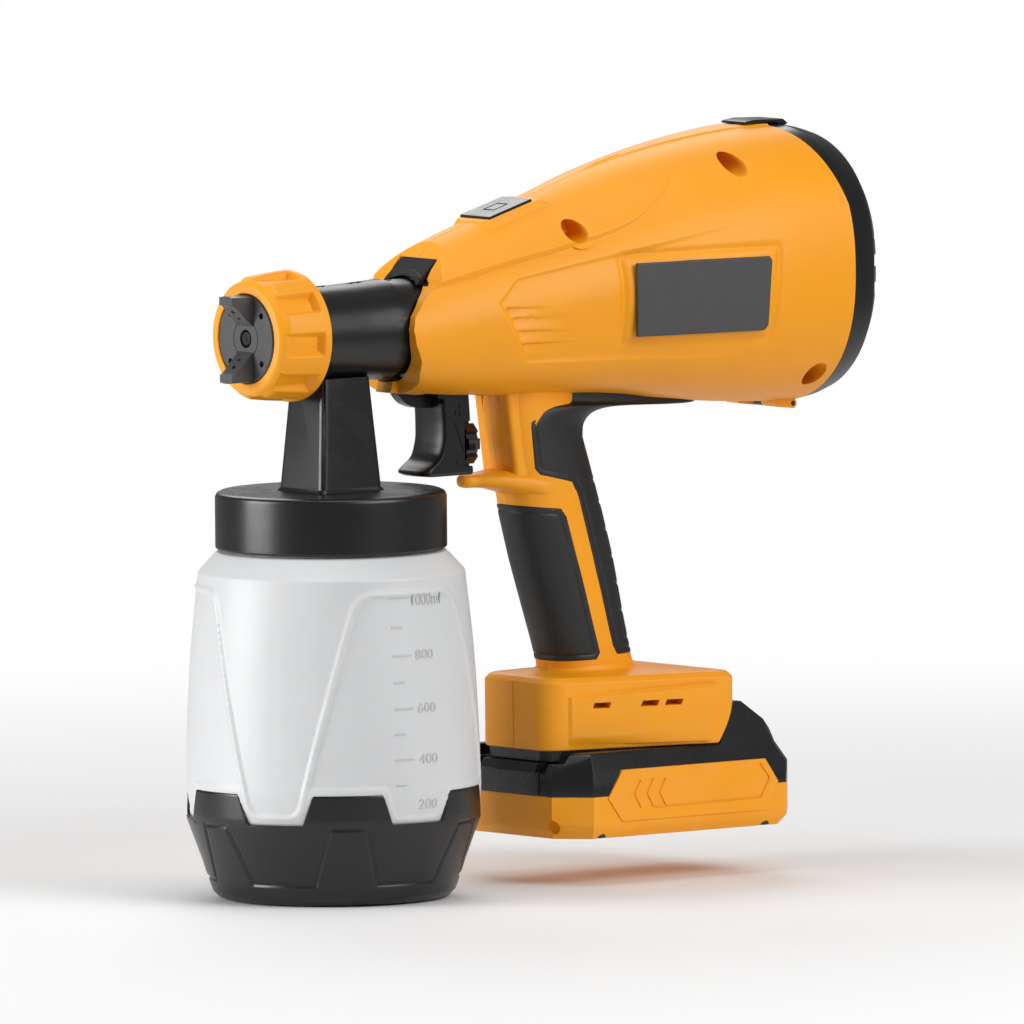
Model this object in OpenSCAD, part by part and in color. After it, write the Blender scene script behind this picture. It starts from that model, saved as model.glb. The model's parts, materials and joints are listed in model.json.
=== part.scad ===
// Cordless cup sprayer: a turbine gun with a screw-on paint cup and a slide-on battery.
// Millimetres. +Z is up, the nozzle points along -X, and the origin is the centre
// of the face under the cup.

/* [Cup] */
// Largest radius of the bottle
cup_r = 58.7; // [56:0.1:60]
// Wall of the bottle
cup_wall = 1.8; // [1.2:0.1:2.4]
// Height of the bottle's shoulder
cup_shoulder_z = 129; // [125:1:132]
// Radius of the screw lid
lid_r = 46.4; // [46:0.1:47]
// Underside of the screw lid
lid_z = 140; // [139:0.5:141]
// Top of the screw lid
lid_top_z = 163; // [162.5:0.1:163.2]
// Widest radius of the boot under the bottle
boot_r = 59.2; // [59:0.1:60]
// Height of the boot's teeth
boot_tooth_z = 45.7; // [43:0.1:48]
// Height of the gaps between the boot's teeth
boot_gap_z = 34.3; // [33:0.1:36]

/* [Spray head] */
// Height of the barrel's axis
axis_z = 226; // [225.5:0.1:226.5]
// Radius of the barrel behind the ring
barrel_front_r = 18.8; // [18.6:0.1:19]
// Radius of the barrel where it enters the gun
barrel_rear_r = 20.3; // [20:0.1:20.4]
// Front face of the air cap
cap_face_x = -42.5; // [-43:0.1:-42]
// Radius of the air cap's face
cap_r = 17.6; // [17.4:0.1:17.8]
// Radius of the clamping ring at its back
ring_r = 26.4; // [26:0.1:27]
// Length of the clamping ring
ring_len = 24; // [23:0.5:25]

/* [Gun body] */
// Wall of the two half shells
shell_wall = 2.6; // [2.2:0.1:3]
// Back edge of the half shells, where the intake cover starts
body_rear_x = 225; // [224:0.5:226]
// Depth of the intake cover
cover_len = 18; // [16:1:20]
// Height of the turbine's axis
turbine_z = 238; // [237.5:0.5:238.5]

/* [Handle and foot] */
// Half-width of the handle
handle_half_w = 16; // [15.5:0.1:17]
// Half-depth of the handle
handle_half_d = 19; // [18.5:0.1:20]
// Underside of the foot
foot_z = 53.3; // [53.2:0.1:53.6]
// Edge of the foot's top
foot_edge_z = 79.5; // [78:0.5:81]

/* [Battery] */
// Underside of the battery
battery_z = 18.8; // [18:0.1:20]
// Front face of the battery
battery_x = 88.4; // [88:0.1:90]
// Length of the battery
battery_len = 115; // [114:1:116]
// Half-width of the battery
battery_half_w = 41; // [40:0.5:42]
// Line between the battery's lower case and its cover
battery_split_z = 35.8; // [35:0.1:37]
// Top of the battery's cover under the foot
battery_top_z = 53; // [52.8:0.1:53.1]

/* [Hidden] */

orange = "#f39a12";
black = "#2b2b2c";
fine = 96;
coarse = 20;

function signed_pow(v, e) = sign(v) * pow(abs(v), e);

// Superellipse with half-sizes a and b and exponent n, as count points
function oval(a, b, n, count, n_top = 0) = [for (i = [0:count - 1])
    let (t = 360 * i / count, e = 2 / (t < 180 && n_top > 0 ? n_top : n))
    [a * signed_pow(cos(t), e), b * signed_pow(sin(t), e)]];

// Skin over a list of rings that hold the same number of points
module loft(rings) {
    n = len(rings[0]);
    m = len(rings);
    sides = [for (j = [0:m - 2]) for (i = [0:n - 1]) let (k = (i + 1) % n)
        each [[j * n + i, (j + 1) * n + k, j * n + k], [j * n + i, (j + 1) * n + i, (j + 1) * n + k]]];
    polyhedron([for (r = rings) each r],
        concat(sides, [[for (i = [0:n - 1]) i]], [[for (i = [n - 1:-1:0]) (m - 1) * n + i]]));
}

// Solid of revolution about the X axis line at height z; points are [x, radius]
module revolve_x(points, z = axis_z, fn = fine) {
    translate([0, 0, z]) rotate([0, 90, 0]) rotate_extrude($fn = fn)
        polygon([for (p = points) [p[1], p[0]]]);
}

// Cylinder along X from x0 to x1
module rod_x(x0, x1, r, z = axis_z, y = 0, fn = 48) {
    translate([x0, y, z]) rotate([0, 90, 0]) cylinder(h = x1 - x0, r = r, $fn = fn);
}

// Outline in the XZ plane, extruded symmetrically over a width in Y
module slab_y(points, width, y = 0) {
    translate([0, y + width / 2, 0]) rotate([90, 0, 0]) linear_extrude(width) polygon(points);
}

// Coil spring along +Z from the origin
module coil(r, wire, length, turns, per_turn = 8) {
    steps = turns * per_turn;
    function at(i) = [r * cos(360 * i / per_turn), r * sin(360 * i / per_turn),
        wire + (length - 2 * wire) * i / steps];
    loft([for (i = [0:steps]) let (c = at(i), a = 360 * i / per_turn)
        [for (k = [0:5]) let (q = 60 * k)
            c + wire * (cos(q) * [cos(a), sin(a), 0] - sin(q) * [0, 0, 1])]]);
}

// ---- Cup ----

// Outside of the bottle from the base to the neck, drawn in by an inset
function bottle_out(d) = [[43 - d, 2.2 + d], [46 - d, 2.8 + d], [49.2 - d, 9], [boot_r - 2.4 - d, 34],
    [cup_r - d, 47], [cup_r - d, 57], [58.1 - d, 75], [56.6 - d, 100], [53.6 - d, cup_shoulder_z],
    [51.5 - d, 134], [46.8 - d, 138.6 - d / 2], [42.8 - d, 139.4 - d / 2]];

module cup() {
    color("#e6e8ea", 0.75) difference() {
        union() {
            rotate_extrude($fn = fine)
                polygon(concat([[0, 2.2]], bottle_out(0), [[42.8, 158.4], [0, 158.4]]));
            for (a = [0:90:359]) rotate([0, 0, a])
                rotate_extrude(angle = 60, $fn = fine) polygon([[42, 149], [43.6, 150], [43.6, 151], [42, 152]]);
        }
        rotate_extrude($fn = fine) polygon(concat([[0, 2.2 + cup_wall]], bottle_out(cup_wall),
            [[42.8 - cup_wall, 159], [0, 159]]));
    }
}

// Trapezoid that cuts one gap between two teeth of the boot
module boot_gap() {
    rotate([90, 0, 0]) linear_extrude(80)
        polygon([[-10.6, boot_gap_z], [10.6, boot_gap_z], [15.5, boot_tooth_z + 1], [-15.5, boot_tooth_z + 1]]);
}

module cup_boot() {
    outer = [[43.5, 0], [46.2, 0.7], [48.5, 3], [50.4, 8], [52.6, 15], [boot_r - 0.4, 32],
        [boot_r, 35], [boot_r, boot_tooth_z - 0.6], [boot_r - 0.5, boot_tooth_z]];
    inner = [for (p = bottle_out(-0.15)) if (p[1] < 50) p];
    color(black) difference() {
        rotate_extrude($fn = fine) polygon(concat([[0, 0]], outer, [[57.6, boot_tooth_z]], [[0, boot_tooth_z]]));
        rotate_extrude($fn = fine) polygon(concat([[0, 2.05]], inner, [[58.85, 50], [0, 50]]));
        for (k = [0:5]) rotate([0, 0, 27 + 60 * k]) boot_gap();
        rotate_extrude($fn = fine) polygon([[36, -1], [38.5, -1], [38.5, 0.6], [36, 0.6]]);
    }
}

module screw_lid() {
    color(black) difference() {
        rotate_extrude($fn = fine) polygon([[0, lid_z], [lid_r - 0.5, lid_z], [lid_r, lid_z + 0.6],
            [lid_r, lid_top_z - 2.2], [lid_r - 0.7, lid_top_z - 0.7], [lid_r - 2.2, lid_top_z], [0, lid_top_z]]);
        translate([0, 0, lid_z - 1]) cylinder(h = 21, r = 44, $fn = fine);
        translate([0, 0, lid_z]) cylinder(h = 40, r = 11, $fn = 64);
    }
}

module lid_gasket() {
    color("#b9bdc0") translate([0, 0, 158.6]) difference() {
        cylinder(h = 1.3, r = 43.8, $fn = fine);
        translate([0, 0, -1]) cylinder(h = 4, r = 38, $fn = fine);
    }
}

// ---- Spray head ----

neck_base_z = lid_top_z + 0.05;

// Rounded rectangle with half-sizes a and b and corner radius r at height z
function rounded_ring(a, b, r, z) = [for (q = [0:3]) for (k = [0:3])
    let (t = 90 * q + 30 * k, sx = (q == 0 || q == 3) ? 1 : -1, sy = q < 2 ? 1 : -1)
    [sx * (a - r) + r * cos(t), sy * (b - r) + r * sin(t), z]];

module spray_barrel() {
    color(black) difference() {
        union() {
            revolve_x([[-35, 0], [-35, 16.9], [-19, 16.9], [-18.2, barrel_front_r], [6, 19.2],
                [18, 19.8], [25.5, barrel_rear_r], [27, 19.6], [40, 19.6], [40, 0]]);
            loft([rounded_ring(16.6, 15.6, 3, neck_base_z), rounded_ring(15.6, 14.6, 3, neck_base_z + 1.4),
                rounded_ring(12.1, 11.4, 2.6, axis_z - 17.5)]);
            translate([0, 0, 154]) cylinder(h = neck_base_z - 153, r = 10.9, $fn = 64);
            // lug that locks into the gun's mouth
            translate([22.6, -20.5, 223.4]) cube([4, 4, 5.2]);
        }
        // air passage round the fluid tube
        difference() {
            rod_x(-36, 36.5, 15.2);
            rod_x(-36, 24, 6.4);
            translate([0, 0, axis_z - 20]) cylinder(h = 20, r = 6.4, $fn = 48);
        }
        rod_x(-36, 20, 4.2);
        rod_x(19, 41, 1.75);
        // bore for the paint, with the seat of the pickup tube
        translate([0, 0, 150]) cylinder(h = axis_z - 150, r = 2.6, $fn = 32);
        translate([0, 0, 150]) cylinder(h = 8.1, r = 3.45, $fn = 32);
        rod_x(35, 41, 6.1, turbine_z);
    }
}

module pickup_tube() {
    color("#d7d9d6") difference() {
        union() {
            translate([0, 0, 9]) cylinder(h = 149, r = 3.4, $fn = 32);
            translate([0, 0, 151.4]) cylinder(h = 2.5, r = 8, $fn = 48);
            translate([0, 0, 7]) cylinder(h = 12, r = 5.4, $fn = 32);
        }
        translate([0, 0, 8.5]) cylinder(h = 152, r = 2.4, $fn = 32);
        for (k = [0:2]) rotate([0, 0, 60 * k]) translate([-8, -1, 9]) cube([16, 2, 7]);
    }
}

module fluid_nozzle() {
    color("#c9b36a") difference() {
        revolve_x([[-42.2, 1.2], [-42.2, 2.7], [-40.5, 3], [-38.6, 3.2], [-37, 5.8], [-36.2, 11], [-35.03, 11],
            [-35.03, 4.1], [-24, 4.1], [-24, 2.4], [-38, 2.4]], fn = 64);
        for (k = [0:5]) translate([0, 0, axis_z]) rotate([60 * k, 0, 0]) translate([-37, 0, 8.6])
            rotate([0, 90, 0]) cylinder(h = 3, r = 1.3, $fn = 16);
    }
}

module packing_nut() {
    color("#c9b36a") difference() {
        rod_x(24.1, 29, 5.2, fn = 6);
        rod_x(23, 30, 1.75);
    }
}

module needle() {
    color("#cfd2d4") revolve_x([[-43, 0], [-42.2, 1.05], [-38, 1.1], [-36.5, 1.6], [29.6, 1.6], [29.6, 3.2],
        [30.6, 3.2], [30.6, 1.6], [47.8, 1.6], [47.8, 3.6], [51, 3.6], [51, 0]], fn = 48);
}

module needle_spring() {
    color("#b8babc") translate([30.65, 0, axis_z]) rotate([0, 90, 0]) coil(2.5, 0.35, 5.8, 3);
}

module air_cap() {
    horn = [[cap_face_x + 4, 7.4], [cap_face_x - 0.6, 8], [cap_face_x - 4.4, 11], [cap_face_x - 9.2, 13.6],
        [cap_face_x - 10.2, 14.6], [cap_face_x - 10.2, 17.4], [cap_face_x - 2, 17.4], [cap_face_x + 4, 17.4]];
    color(black) difference() {
        union() {
            revolve_x([[cap_face_x, 3.7], [cap_face_x, cap_r - 0.7], [cap_face_x + 0.7, cap_r], [-38.9, cap_r],
                [-38.9, 20.6], [-35.05, 20.6], [-35.05, 15.6], [-39.4, 13.6], [-39.4, 3.7]]);
            for (s = [1, -1]) intersection() {
                translate([0, 0, axis_z]) rotate([s == 1 ? 0 : 180, 0, 0]) slab_y(horn, 11.4);
                rod_x(-60, -38, cap_r - 0.1, fn = fine);
                translate([cap_face_x, 0, axis_z - 30]) linear_extrude(60)
                    polygon([[4.2, -5.6], [4.2, 5.6], [-10.4, 3.4], [-10.4, -3.4]]);
            }
        }
        for (s = [1, -1]) for (h = [0, 1]) translate([cap_face_x - 4.4 - 4.6 * h, 0, axis_z + s * (10.6 + 3.3 * h)])
            rotate([0, s * 52, 0]) cylinder(h = 5, r = 0.9, center = true, $fn = 16);
        for (k = [0:3]) translate([cap_face_x - 1, 0, axis_z]) rotate([45 + 90 * k, 0, 0]) translate([0, 0, 11.6])
            rotate([0, 90, 0]) cylinder(h = 6, r = 1.5, $fn = 24);
        for (k = [0:3]) translate([cap_face_x - 1, 0, axis_z]) rotate([45 + 90 * k, 0, 0]) translate([0, 0, 6.4])
            rotate([0, 90, 0]) cylinder(h = 6, r = 0.6, $fn = 16);
        revolve_x([[cap_face_x - 1, 5.6], [cap_face_x - 1, 6.1], [cap_face_x + 0.4, 6.1], [cap_face_x + 0.4, 5.6]]);
    }
}

// Pocket between two grip ribs of the ring, open to its front and a little narrower at the back
module ring_pocket() {
    translate([cap_face_x, 0, 0]) linear_extrude(40)
        polygon([[-1, -5.4], [ring_len - 4.6, -4.6], [ring_len - 4.6, 4.6], [-1, 5.4]]);
}

ring_pockets = 9;

module cap_ring() {
    x1 = cap_face_x + ring_len;
    color(orange) difference() {
        revolve_x([[cap_face_x, 18.1], [cap_face_x, 21.2], [cap_face_x + 0.8, 22.3], [cap_face_x + 3.6, 24.6],
            [x1 - 3, ring_r], [x1 - 0.7, ring_r - 0.3], [x1, ring_r - 1], [x1, 19.4], [-19.4, 19.4], [-19.4, 17.2],
            [-34, 17.2], [-34, 20.95], [-39, 20.95], [-39, 18.1]]);
        for (k = [0:ring_pockets - 1]) translate([0, 0, axis_z]) rotate([18 + 360 / ring_pockets * k, 0, 0])
            difference() {
                ring_pocket();
                rod_x(cap_face_x - 2, x1 + 1, 23.4, z = 0, fn = fine);
            }
    }
}

// ---- Gun body ----

// Stations of the body: [x, half-width, top, bottom, exponent below, exponent above]
body_stations = [[12, 24.5, 241, 200.5, 2.3, 2.1], [26, 28.2, 248.5, 198.2, 2.35, 2], [46, 31.6, 257.6, 195.8, 2.4, 1.9],
    [67, 34.8, 265, 194.6, 2.45, 1.85], [99, 40, 274.4, 194, 2.45, 1.85], [135, 46, 285.6, 192.6, 2.4, 1.95],
    [165, 50.6, 292.4, 190.2, 2.35, 2.1], [200, 54.8, 297.4, 187.2, 2.35, 2.25], [body_rear_x, 56.6, 298.2, 186, 2.35, 2.35]];

function body_ring(s, inset, x, count = 32) = let (c = (s[2] + s[3]) / 2)
    [for (p = oval(s[1] - inset, (s[2] - s[3]) / 2 - inset, s[4], count, s[5])) [x, p[0], c + p[1]]];

module body_skin(inset, count = 32) {
    loft([for (s = body_stations) body_ring(s, inset, s[0], count)]);
}

// Side view of the space in front of the mouth of the body
mouth_cut = [[0, 270], [62, 270], [51.3, 259.3], [45.6, 253.2], [42.5, 249.6], [39.5, 244.5], [31.5, 238.5], [25.2, 232], [23.6, 227],
    [24.4, 221], [27.3, 214.6], [28.6, 208], [27.6, 202], [25, 197], [24, 190], [0, 190]];

// Stations of the handle: [z, centre x, half-depth, half-width]
handle_stations = [for (s = [[84, 129.4, 0.6, 0.2], [92, 127.3, 0.2, 0], [118, 120.1, 1.4, 0.3],
    [146, 112.4, 2, 0.2], [156, 109.7, 1.6, 0], [166, 106.6, 1.9, -0.6],
    [178, 103.5, 1.4, -1.2], [190, 101.2, 0.4, -1.4], [202, 101, 0.2, -1.4]])
    [s[0], s[1], handle_half_d + s[2], handle_half_w + s[3]]];

// One column of the handle's stations, read at height z
function handle_at(z, column) = lookup(z, [for (s = handle_stations) [s[0], s[column]]]);

// Handle as a chain of rounded slices, grown or drawn in by an offset
module handle_form(grow) {
    for (i = [0:len(handle_stations) - 2]) hull() for (j = [i, i + 1]) {
        s = handle_stations[j];
        translate([s[1], 0, s[0]]) linear_extrude(0.05) polygon(oval(s[2] + grow, s[3] + grow, 2.5, coarse));
    }
}

// Plan of the foot, wider at the back
module foot_outline(d) {
    offset(r = -d) hull() {
        for (s = [1, -1]) {
            translate([103.5, s * 14.2]) circle(r = 10.6, $fn = coarse);
            translate([169.5, s * 31]) circle(r = 7, $fn = coarse);
        }
    }
}

module foot_form(d = 0) {
    hull() {
        translate([0, 0, foot_z + d]) linear_extrude(foot_edge_z - 2.4 - foot_z - d) foot_outline(d);
        translate([0, 0, foot_edge_z - d]) linear_extrude(0.1) foot_outline(d + 2.2);
    }
    hull() {
        translate([0, 0, foot_edge_z - 1 - d]) linear_extrude(0.5) foot_outline(d + 3);
        translate([129, 0, 84.6 - d]) linear_extrude(0.5) polygon(oval(22, 18, 2.4, coarse));
    }
    if (d == 0) hull() {
        translate([129.4, 0, 83]) linear_extrude(0.5) polygon(oval(22, 18.2, 2.4, coarse));
        translate([128.2, 0, 88.6]) linear_extrude(0.5) polygon(oval(20.6, 17.2, 2.4, coarse));
    }
}

// Slanted cut under the back of the foot, where the battery rises behind it
foot_rear_cut = [[165.4, 50], [167.2, 53.3], [175.4, 68.6], [182, 71], [182, 50]];

// Flat-fronted block behind the trigger
module trigger_block() {
    hull() for (e = [[86.6, 160.5], [81.4, 198]]) translate([0, 0, e[1]]) linear_extrude(0.5)
        offset(r = 2.2, $fn = 24) polygon([[e[0] + 2.2, -11.2], [104, -12.6], [104, 12.6], [e[0] + 2.2, 11.2]]);
}

// Pointed guard under the trigger
module guard_form() {
    hull() {
        translate([75.4, 0, 160.8]) linear_extrude(2.2) polygon(oval(7.4, 8, 2.2, coarse));
        translate([98, 0, 159.4]) linear_extrude(6) polygon(oval(12, 15.4, 2.4, coarse));
        translate([95, 0, 152]) linear_extrude(1) polygon(oval(7, 13.6, 2.4, coarse));
    }
}

// Flow of the handle into the belly, grown or drawn in by an offset
module handle_root(grow) {
    hull() {
        translate([103.5, 0, 178]) linear_extrude(1) polygon(oval(19.4 + grow, 14.8 + grow, 2.5, coarse));
        translate([108, 0, 200]) linear_extrude(1) polygon(oval(23 + grow, 17 + grow, 2.4, coarse));
    }
    hull() {
        translate([110, 0, 189.6 - grow]) linear_extrude(1) polygon(oval(15 + grow, 13 + grow, 2.2, coarse));
        translate([122, 0, 198]) linear_extrude(1) polygon(oval(27 + grow, 16 + grow, 2.2, coarse));
    }
}

// Strip of the rear grip that runs back under the belly
module belly_strip() {
    difference() {
        intersection() {
            body_skin(-1.5);
            slab_y([[112, 200], [112, 186], [176, 186], [184, 189.6], [184, 200]], 26);
        }
        body_skin(-0.05);
    }
}

module front_grip_zone() {
    slab_y([[60, 155.4], [105.3, 150.6], [108, 147], [124.9, 93.4], [123, 90.4], [60, 88.4]], 60);
}

module rear_grip_zone() {
    slab_y([[187, 200], [187, 189.4], [146, 186], [170, 160], [170, 90.6], [133, 90.6], [130.6, 93.4], [113.4, 155],
        [110.4, 160.4], [95.6, 164], [93.4, 166.6], [91.4, 185.6], [94.4, 190.2], [104, 193.2], [140, 194.6],
        [180, 192.4]], 60);
}

// Seat and centre height of the air filter in the open back of the shells
filter_x = 223.4;
filter_z = 242;

pivot = [50, 247.4];
screw_points = [[104, 262.5], [182, 285.5], [217, 199.5]];

module screw_recess(p, y0) {
    hull() {
        translate([p[0], -70, p[1]]) rotate([-90, 0, 0]) cylinder(h = 70 + y0, r = 4.6, $fn = 16);
        translate([p[0] - 1.2, -70, p[1]]) rotate([-90, 0, 0]) cylinder(h = 70 + y0 - 4, r = 5.2, $fn = 16);
    }
}

// Outside of both half shells together, before the cavities
module body_outside() {
    difference() {
        union() {
            body_skin(0);
            handle_form(0);
            handle_root(0);
            trigger_block();
            guard_form();
            foot_form();
            // raised pad round the lock button
            hull() {
                translate([70, 0, 259.6]) rotate([0, -17, 0]) linear_extrude(6.6) polygon(oval(3, 8.4, 3, coarse));
                translate([108, 0, 268]) rotate([0, -17, 0]) linear_extrude(8) polygon(oval(9, 11.4, 3, coarse));
            }
        }
        slab_y(mouth_cut, 120);
        slab_y(foot_rear_cut, 120);
        body_gills();
    }
}

// Four tapering grooves on each side behind the mouth: [x, z] of the thick end and of the thin end
gills = [[66.4, 234.6, 82.2, 233.7], [68.8, 229.8, 91.4, 229.2], [71.5, 224.1, 94.4, 223.3], [74, 218.3, 96.4, 218.3]];
gill_depth = 1.1;

module body_gills() {
    difference() {
        for (g = gills) slab_y([[g[0] - 1.2, g[1] - 0.8], [g[0], g[1] - 1.9], [g[2], g[3] - 0.5], [g[2], g[3] + 0.5],
            [g[0], g[1] + 1.9], [g[0] - 1.2, g[1] + 0.8]], 120);
        body_skin(gill_depth);
    }
}

module body_cavities() {
    difference() {
        body_skin(shell_wall, 24);
        translate([200, -80, 150]) cube([30, 160, 160]);
        translate([0, -80, 150]) cube([40, 160, 160]);
    }
    // open back of the shell
    revolve_x([[199, 0], [199, 51.5], [filter_x, 51.9], [filter_x, 53.4], [230, 53.4], [230, 0]], z = filter_z, fn = 48);
    // mouth for the spray head
    rod_x(0, 38, 21.4, fn = 48);
    rod_x(37.9, 46, 23.4, fn = 48);
    handle_cavity();
    difference() {
        foot_form(2.4);
        translate([60, -60, 80]) cube([150, 120, 20]);
    }
    // trigger slot, and the slot that its stop arm hangs in
    translate([40.4, -10.6, 190]) cube([32, 21.2, 20]);
    translate([29, -3.4, 190]) cube([16, 6.8, 20]);
    // mouth of the switch lever above the handle's front
    translate([78, -5.9, 188.6]) cube([12, 11.8, 5.4]);
    // window for the socket's tongue
    translate([34, -12.2, 238]) cube([12.4, 24.4, 20]);
    // open underside of the foot for the battery plate
    translate([0, 0, foot_z - 1]) linear_extrude(6) foot_outline(3.4);
}

module handle_cavity() {
    for (i = [0:2:6]) hull() for (j = [i, i + 2]) {
        s = handle_stations[j];
        translate([s[1], 0, s[0] - 4]) linear_extrude(4.05) polygon(oval(s[2] - 4.6, s[3] - 4.6, 2.5, 16));
    }
    s = handle_stations[0];
    translate([s[1], 0, 70]) linear_extrude(18) polygon(oval(s[2] - 4.6, s[3] - 4.6, 2.5, 16));
}

module grip_beds() {
    difference() {
        union() {
            front_grip_zone();
            rear_grip_zone();
        }
        handle_form(-1.8);
        handle_root(-1.8);
        body_skin(0);
        translate([60, -40, 140]) cube([24, 80, 30]);
    }
}

// Bosses and ribs inside the shells: trigger pin, screws, lock button, switch, duct and turbine
module inner_bosses() {
    intersection() {
        union() {
            translate([pivot[0], -40, pivot[1]]) rotate([-90, 0, 0]) cylinder(h = 80, r = 4.2, $fn = 24);
            for (p = screw_points) translate([p[0], -60, p[1]]) rotate([-90, 0, 0]) cylinder(h = 120, r = 6.9, $fn = 16);
            lock_place() translate([-13.6, -12, -11]) cube([27.2, 24, 12]);
            switch_cradle();
            rib_x(118, 2.4, 7.45);
            rib_x(162, 2.4, 32);
            rib_x(203, 2.4, 43);
        }
        body_skin(shell_wall - 0.4);
    }
}

// Rib across the shells with a round seat about the turbine's axis
module rib_x(x, thick, seat_r) {
    difference() {
        translate([x, -60, 180]) cube([thick, 120, 120]);
        rod_x(x - 1, x + thick + 1, seat_r, z = turbine_z);
        if (seat_r < 10) translate([x - 1, -60, turbine_z + 4]) cube([thick + 2, 120, 70]);
    }
}

// Open box that holds the switch over the handle
module switch_cradle() {
    difference() {
        translate([82, -10.5, 190]) cube([25, 21, 13]);
        translate([83.95, -6.45, 197.35]) cube([20.1, 12.9, 10]);
        translate([80, -6.45, 199]) cube([5, 12.9, 10]);
        translate([88, -5, 189]) cube([13, 10, 10]);
    }
}

module body_bores() {
    hinge_rod(1.13, 40);
    hinge_rod(2.3, knuckle_w + 0.6);
    // pin hole, and the room between the ears for the trigger's yoke
    translate([pivot[0], -20, pivot[1]]) rotate([-90, 0, 0]) cylinder(h = 40, r = 1.6, $fn = 24);
    translate([43, -10.8, 236]) cube([16, 21.6, 16.4]);
    for (p = screw_points) {
        translate([p[0], -60, p[1]]) rotate([-90, 0, 0]) cylinder(h = 72, r = 1.7, $fn = 16);
        screw_recess(p, -14);
    }
    lock_place() translate([-11.6, -9.9, -8]) cube([23.2, 19.8, 20]);
}

module housing_half(side) {
    difference() {
        intersection() {
            union() {
                difference() {
                    body_outside();
                    body_cavities();
                    grip_beds();
                }
                hinge_ears();
                difference() {
                    inner_bosses();
                    revolve_x([[140, 0], [140, 34.05], [190, 34.05], [192.4, 45.55], [211, 45.55], [211, 0]], z = turbine_z);
                    translate([223.35, -60, 180]) cube([10, 120, 120]);
                }
            }
            translate([-100, side < 0 ? -100 : 0.02, 0]) cube([400, 99.98, 400]);
        }
        body_bores();
        if (side < 0) badge_bed();
        foot_panel(side);
    }
}

module foot_panel(side) {
    angle = 14.3;
    for (k = [0:4]) vent_slot_at(side, angle, k);
    // shallow pressed panel with slanted ends
    translate([131, side * 31.8, 0]) rotate([0, 0, side * angle]) translate([0, side * 6.2, 0])
        slab_y([[-32, 75], [36, 75], [28, 57], [-32, 57]], 12);
}

module vent_slot_at(side, angle, k) {
    depth = (k == 1 || k == 4) ? 1.2 : 8;
    translate([131, side * 31.8, 0]) rotate([0, 0, side * angle]) hull() for (s = [-1, 1])
        translate([-14 + 10.7 * k + s * 2.6, 0, 71.6]) rotate([90, 0, 0]) cylinder(h = 2 * depth, r = 1.3, center = true, $fn = 12);
}

badge_x = 153.5;
badge_z = 234.2;
badge_tilt = 9.4;

module badge_place() {
    translate([badge_x, -48.3, badge_z]) rotate([0, 0, -badge_tilt]) children();
}

module badge_shape(grow) {
    rotate([90, 0, 0]) linear_extrude(8) offset(delta = grow)
        polygon([[-31, -14.4], [27.6, -14.4], [29.4, -12.4], [31.4, 13.8], [30.2, 15.2], [-31, 15.2]]);
}

module badge_bed() {
    badge_place() {
        translate([0, 1.4, 0]) badge_shape(0.15);
        translate([0, 0.2, 0]) badge_shape(4.4);
    }
}

module housing_left() {
    color(orange) housing_half(-1);
}

module housing_right() {
    color(orange) housing_half(1);
}

module side_badge() {
    color("#3a3838") badge_place() translate([0, 1.3, 0]) intersection() {
        badge_shape(0);
        translate([-60, -1.9, -30]) cube([120, 1.9, 60]);
    }
}

module housing_screws() {
    color("#55585b") for (p = screw_points) translate([p[0], -14.1, p[1]]) rotate([90, 0, 0]) difference() {
        union() {
            translate([0, 0, 0.2]) cylinder(h = 2.4, r = 3.4, $fn = 32);
            translate([0, 0, -23]) cylinder(h = 24, r = 1.55, $fn = 24);
        }
        translate([0, 0, 1.4]) for (a = [0, 90]) rotate([0, 0, a]) translate([-2, -0.4, 0]) cube([4, 0.8, 3]);
    }
}

module front_grip() {
    color(black) difference() {
        intersection() {
            handle_form(0.25);
            slab_y([[60, 155.2], [105.2, 150.4], [107.8, 146.9], [124.7, 93.5], [122.9, 90.6], [60, 88.6]], 60);
        }
        handle_form(-1.7);
    }
}

module rear_grip() {
    color(black) difference() {
        union() {
            intersection() {
                union() {
                    handle_form(0.35);
                    handle_root(0.35);
                }
                rear_grip_zone();
            }
            belly_strip();
        }
        handle_form(-1.7);
        handle_root(-1.7);
        body_skin(-0.05);
        for (z = [96, 107, 118, 129, 140, 151, 160]) grip_groove(z);
    }
}

// Groove round the back of the handle at height z, which fades out towards the sides
module grip_groove(z) {
    translate([handle_at(z, 1), 0, z - 1.1]) linear_extrude(2.2) difference() {
        translate([4, -30]) square([40, 60]);
        translate([-1.3, 0]) polygon(oval(handle_at(z, 2) + 0.5, handle_at(z, 3) + 0.5, 2.5, coarse));
    }
}

// Black socket that the spray head locks into, with its sloping tongue on top
module head_socket() {
    color(black) difference() {
        union() {
            rod_x(38.2, 45.6, 23.1, fn = fine);
            slab_y([[46.1, 253.5], [46.1, 251.4], [45.4, 250.6], [45.4, 243], [43, 242], [36.6, 242.6], [34.8, 243.2]], 22);
        }
        rod_x(40, 46, 17.5, fn = fine);
        rod_x(20, 44, barrel_rear_r + 0.6, fn = fine);
        rod_x(40, 47, 7.45, z = turbine_z);
        translate([28, -4, axis_z - 30]) cube([18, 8, 16]);
    }
}

// ---- Controls ----

lock_tilt = -16;

module lock_place() {
    translate([86, 0, 269.6]) rotate([0, lock_tilt, 0]) children();
}

module lock_button() {
    color(black) lock_place() difference() {
        union() {
            translate([-11.2, -9.5, -3]) cube([22.4, 19, 5.4]);
            translate([0, 0, -5.2]) cylinder(h = 3, r = 2, $fn = 24);
        }
        translate([-13, -12, 2.1]) rotate([0, -12, 0]) cube([4, 24, 4]);
        translate([-4, -3.5, 2]) difference() {
            cube([8, 7, 2]);
            translate([0.7, 0.7, -1]) cube([6.6, 5.6, 4]);
        }
    }
}

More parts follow.
